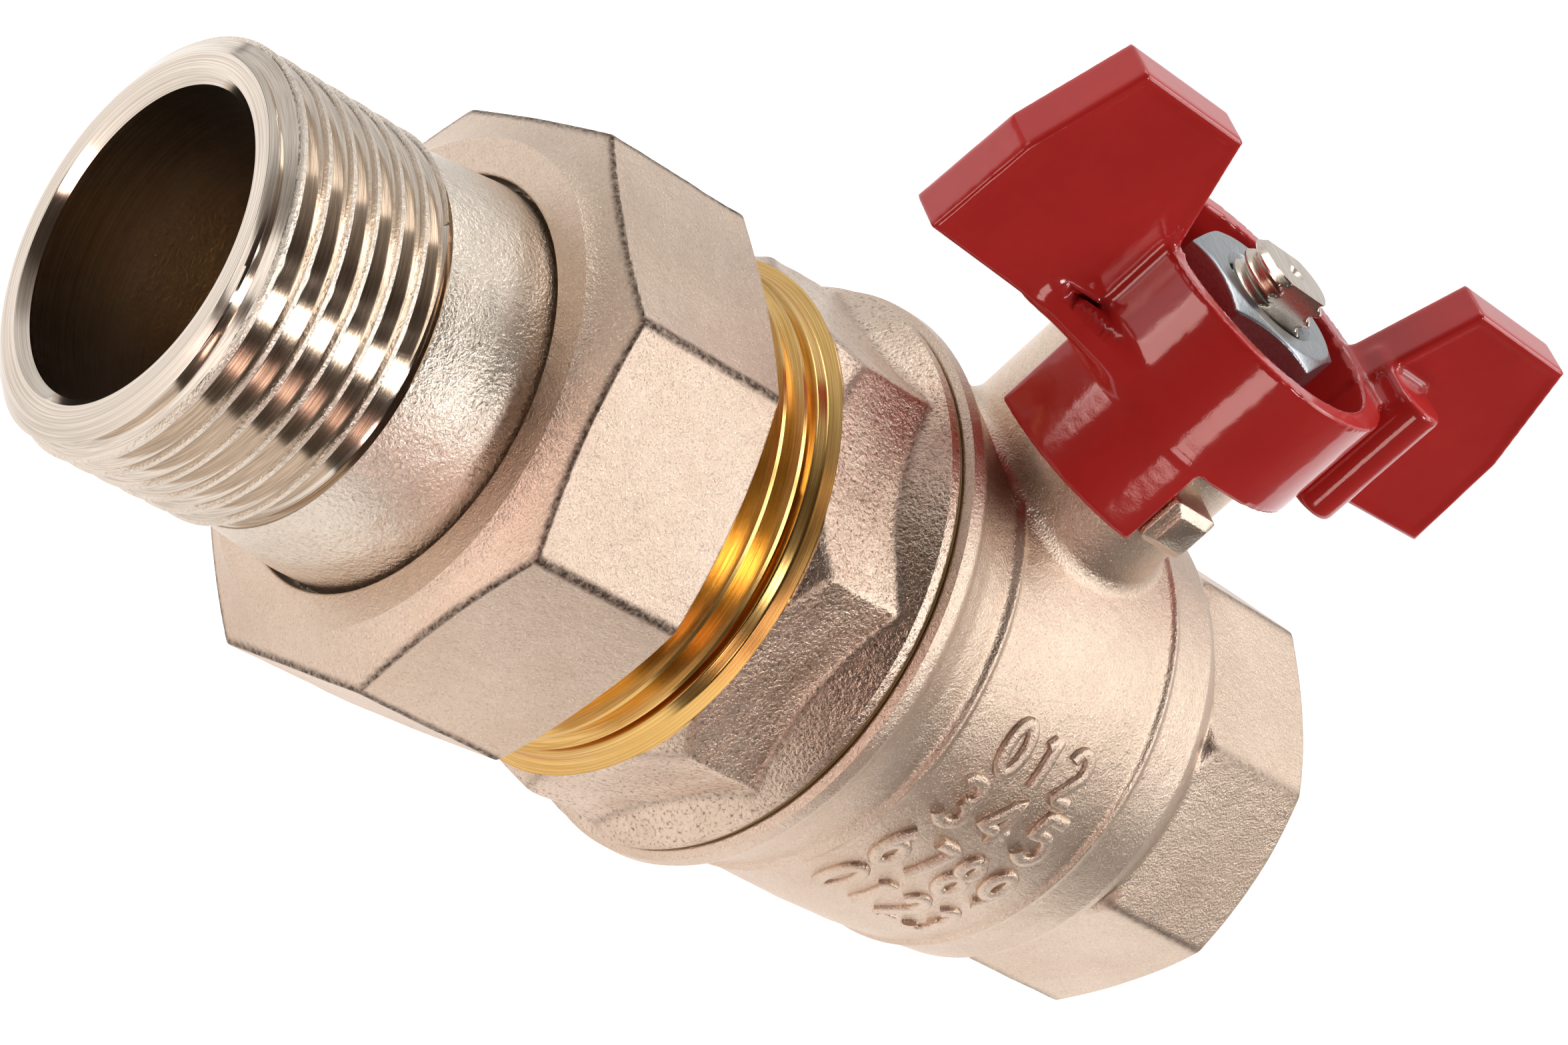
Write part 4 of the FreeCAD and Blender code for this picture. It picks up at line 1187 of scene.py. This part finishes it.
materials |= {
    "red_paint": coated("red_paint", (0.55, 0.021, 0.019), (0.62, 0.026, 0.023), 0.38, 1.0, 0.02),
    "seat_ptfe": coated("seat_ptfe", (0.78, 0.77, 0.74), (0.84, 0.83, 0.8), 0.4, 0.0, 0.01),
    "gasket_rubber": coated("gasket_rubber", (0.03, 0.03, 0.032), (0.05, 0.05, 0.05), 0.55, 0.0, 0.02),
    "o_ring_rubber": coated("o_ring_rubber", (0.02, 0.02, 0.021), (0.03, 0.03, 0.03), 0.45, 0.0, 0.01),
    "joint_sealant": coated("joint_sealant", (0.22, 0.13, 0.04), (0.33, 0.22, 0.09), 0.35, 0.0, 0.03),
}
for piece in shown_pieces():
    if piece.get("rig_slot"):
        piece.data.materials.clear()
        piece.data.materials.append(materials[piece["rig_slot"]])

# %% [markdown]
# Floor, lights and surroundings
#
# Metal shows its surroundings, so these matter as much as the metal. The valve lies on a plain white
# floor in a white room. The part of the floor under and behind the valve glows, a painted pool of light
# that the metal reflects. Softboxes at the inlet, the neck, the side, the outlet and overhead put
# highlights on it, and two small warm strips low down warm the flats that face the floor. The dark
# side of the room behind the viewer gives the brown bands between the highlights.

# %% Stage
FLOOR_Z = -25.05 * MM
GLOW_X, GLOW_Y = -0.37, -0.056  # the part of the floor that glows, a painted pool of light, lies beyond these, m
DARK, WHITE = (0.02, 0.015, 0.01, 1), (1.0, 1.0, 1.0, 1)


def floor():
    """A large plain floor, white to the camera. Only the part under and behind the valve glows, a painted
    pool of light that stands for a lit table, and the rest is dark to reflections."""
    mesh = bpy.data.meshes.new("floor")
    side = 4.0
    mesh.from_pydata([(-side, -side, FLOOR_Z), (side, -side, FLOOR_Z), (side, side, FLOOR_Z),
                      (-side, side, FLOOR_Z)], [], [(0, 1, 2, 3)])
    table = add_object("floor", mesh)
    material, tree, surface = start_material("floor_white")
    here = put(tree, "SeparateXYZ", Vector=put(tree, "TexCoord").outputs["Object"])
    glowing = sums(tree, "MULTIPLY", sums(tree, "GREATER_THAN", here.outputs["X"], GLOW_X),
               sums(tree, "GREATER_THAN", here.outputs["Y"], GLOW_Y))
    base = blend(tree, glowing, DARK, (0.5, 0.5, 0.5, 1))
    # painted light: the floor glows in that zone for reflections, and it is plain white to camera rays
    glow = blend(tree, glowing, DARK, (0.74, 0.74, 0.74, 1))
    glow = blend(tree, put(tree, "LightPath").outputs["Is Camera Ray"], glow, WHITE)
    feed(tree, surface, {"Base Color": base, "Emission Color": glow, "Emission Strength": 1.0,
                         "Roughness": 0.8})
    mesh.materials.append(material)
    table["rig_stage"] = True


# A panel that is close by is aimed higher, so that it stays above the floor.
NEAR_AIM, FAR_AIM = Vector((-0.034, -0.01, 0.036)), Vector((-0.04, 0, 0))


def panel(name, azimuth, elevation, width, height, power, away=1.0, colour=(1.0, 1.0, 1.0)):
    """A flat light facing the valve, its azimuth from +Y towards +X and its elevation in degrees."""
    middle = NEAR_AIM if away < 1 else FAR_AIM
    a, e = np.radians(azimuth), np.radians(elevation)
    towards = Vector((np.sin(a) * np.cos(e), np.cos(a) * np.cos(e), np.sin(e)))
    data = bpy.data.lights.new(name, "AREA")
    data.shape, data.size, data.size_y, data.energy = "RECTANGLE", width, height, power
    data.color = colour
    light = add_object(name, data)
    light.matrix_world = (Matrix.Translation(middle + towards * away)
                          @ towards.to_track_quat("Z", "Y").to_matrix().to_4x4())
    light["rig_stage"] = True


def surroundings():
    """White above and behind, dark brown towards one side, and nearly black below the table's edge."""
    world = bpy.data.worlds.new("room")
    bpy.context.scene.world = world
    world.use_nodes = True
    tree = world.node_tree
    way = put(tree, "TexCoord").outputs["Generated"]
    facing = put(tree, "VectorMath", {"operation": "DOT_PRODUCT"}, i0=way, i1=(-0.3, -0.933, 0.2))
    ramp = put(tree, "ValToRGB", Fac=sums(tree, "MULTIPLY_ADD", facing.outputs["Value"], 0.5, 0.5))
    bands = ((0.0, (0.97, 0.97, 0.97)), (0.4, (0.95, 0.95, 0.95)), (0.5, (0.5, 0.48, 0.46)),
             (0.6, (0.32, 0.29, 0.265)), (0.7, (0.08, 0.062, 0.05)), (1.0, (0.04, 0.03, 0.025)))
    for at, _ in bands[2:]:
        ramp.color_ramp.elements.new(at)
    for element, (at, colour) in zip(ramp.color_ramp.elements, bands):
        element.position, element.color = at, colour + (1,)
    height = put(tree, "SeparateXYZ", Vector=way).outputs["Z"]
    above = sums(tree, "MULTIPLY_ADD", height, 25.0, 0.5, clamp=True)
    colour = blend(tree, above, DARK, ramp.outputs[0])
    seen = put(tree, "LightPath").outputs["Is Camera Ray"]
    feed(tree, tree.nodes["Background"], {"Color": blend(tree, seen, colour, WHITE),
                                          "Strength": blend(tree, seen, 0.8, 0.96)})


floor()
panel("strip_low_inlet", -106, -16, 0.06, 0.075, 0.085, 0.2, (1.0, 0.72, 0.66))
panel("strip_low_side", -175, -16, 0.055, 0.075, 0.08, 0.2, (1.0, 0.72, 0.66))
panel("softbox_inlet", -84, 6, 0.5, 0.21, 0.4)
panel("softbox_neck", 156, 28, 0.2, 0.2, 2.0)
panel("softbox_side", 125, 37, 0.42, 0.42, 2.0)
panel("softbox_outlet", 93, 52, 0.3, 0.3, 1.4)
panel("overhead", -30, 66, 0.6, 0.6, 3.0)
surroundings()
bpy.context.scene.view_settings.view_transform = "Standard"
print("stage set, floor at", FLOOR_Z)
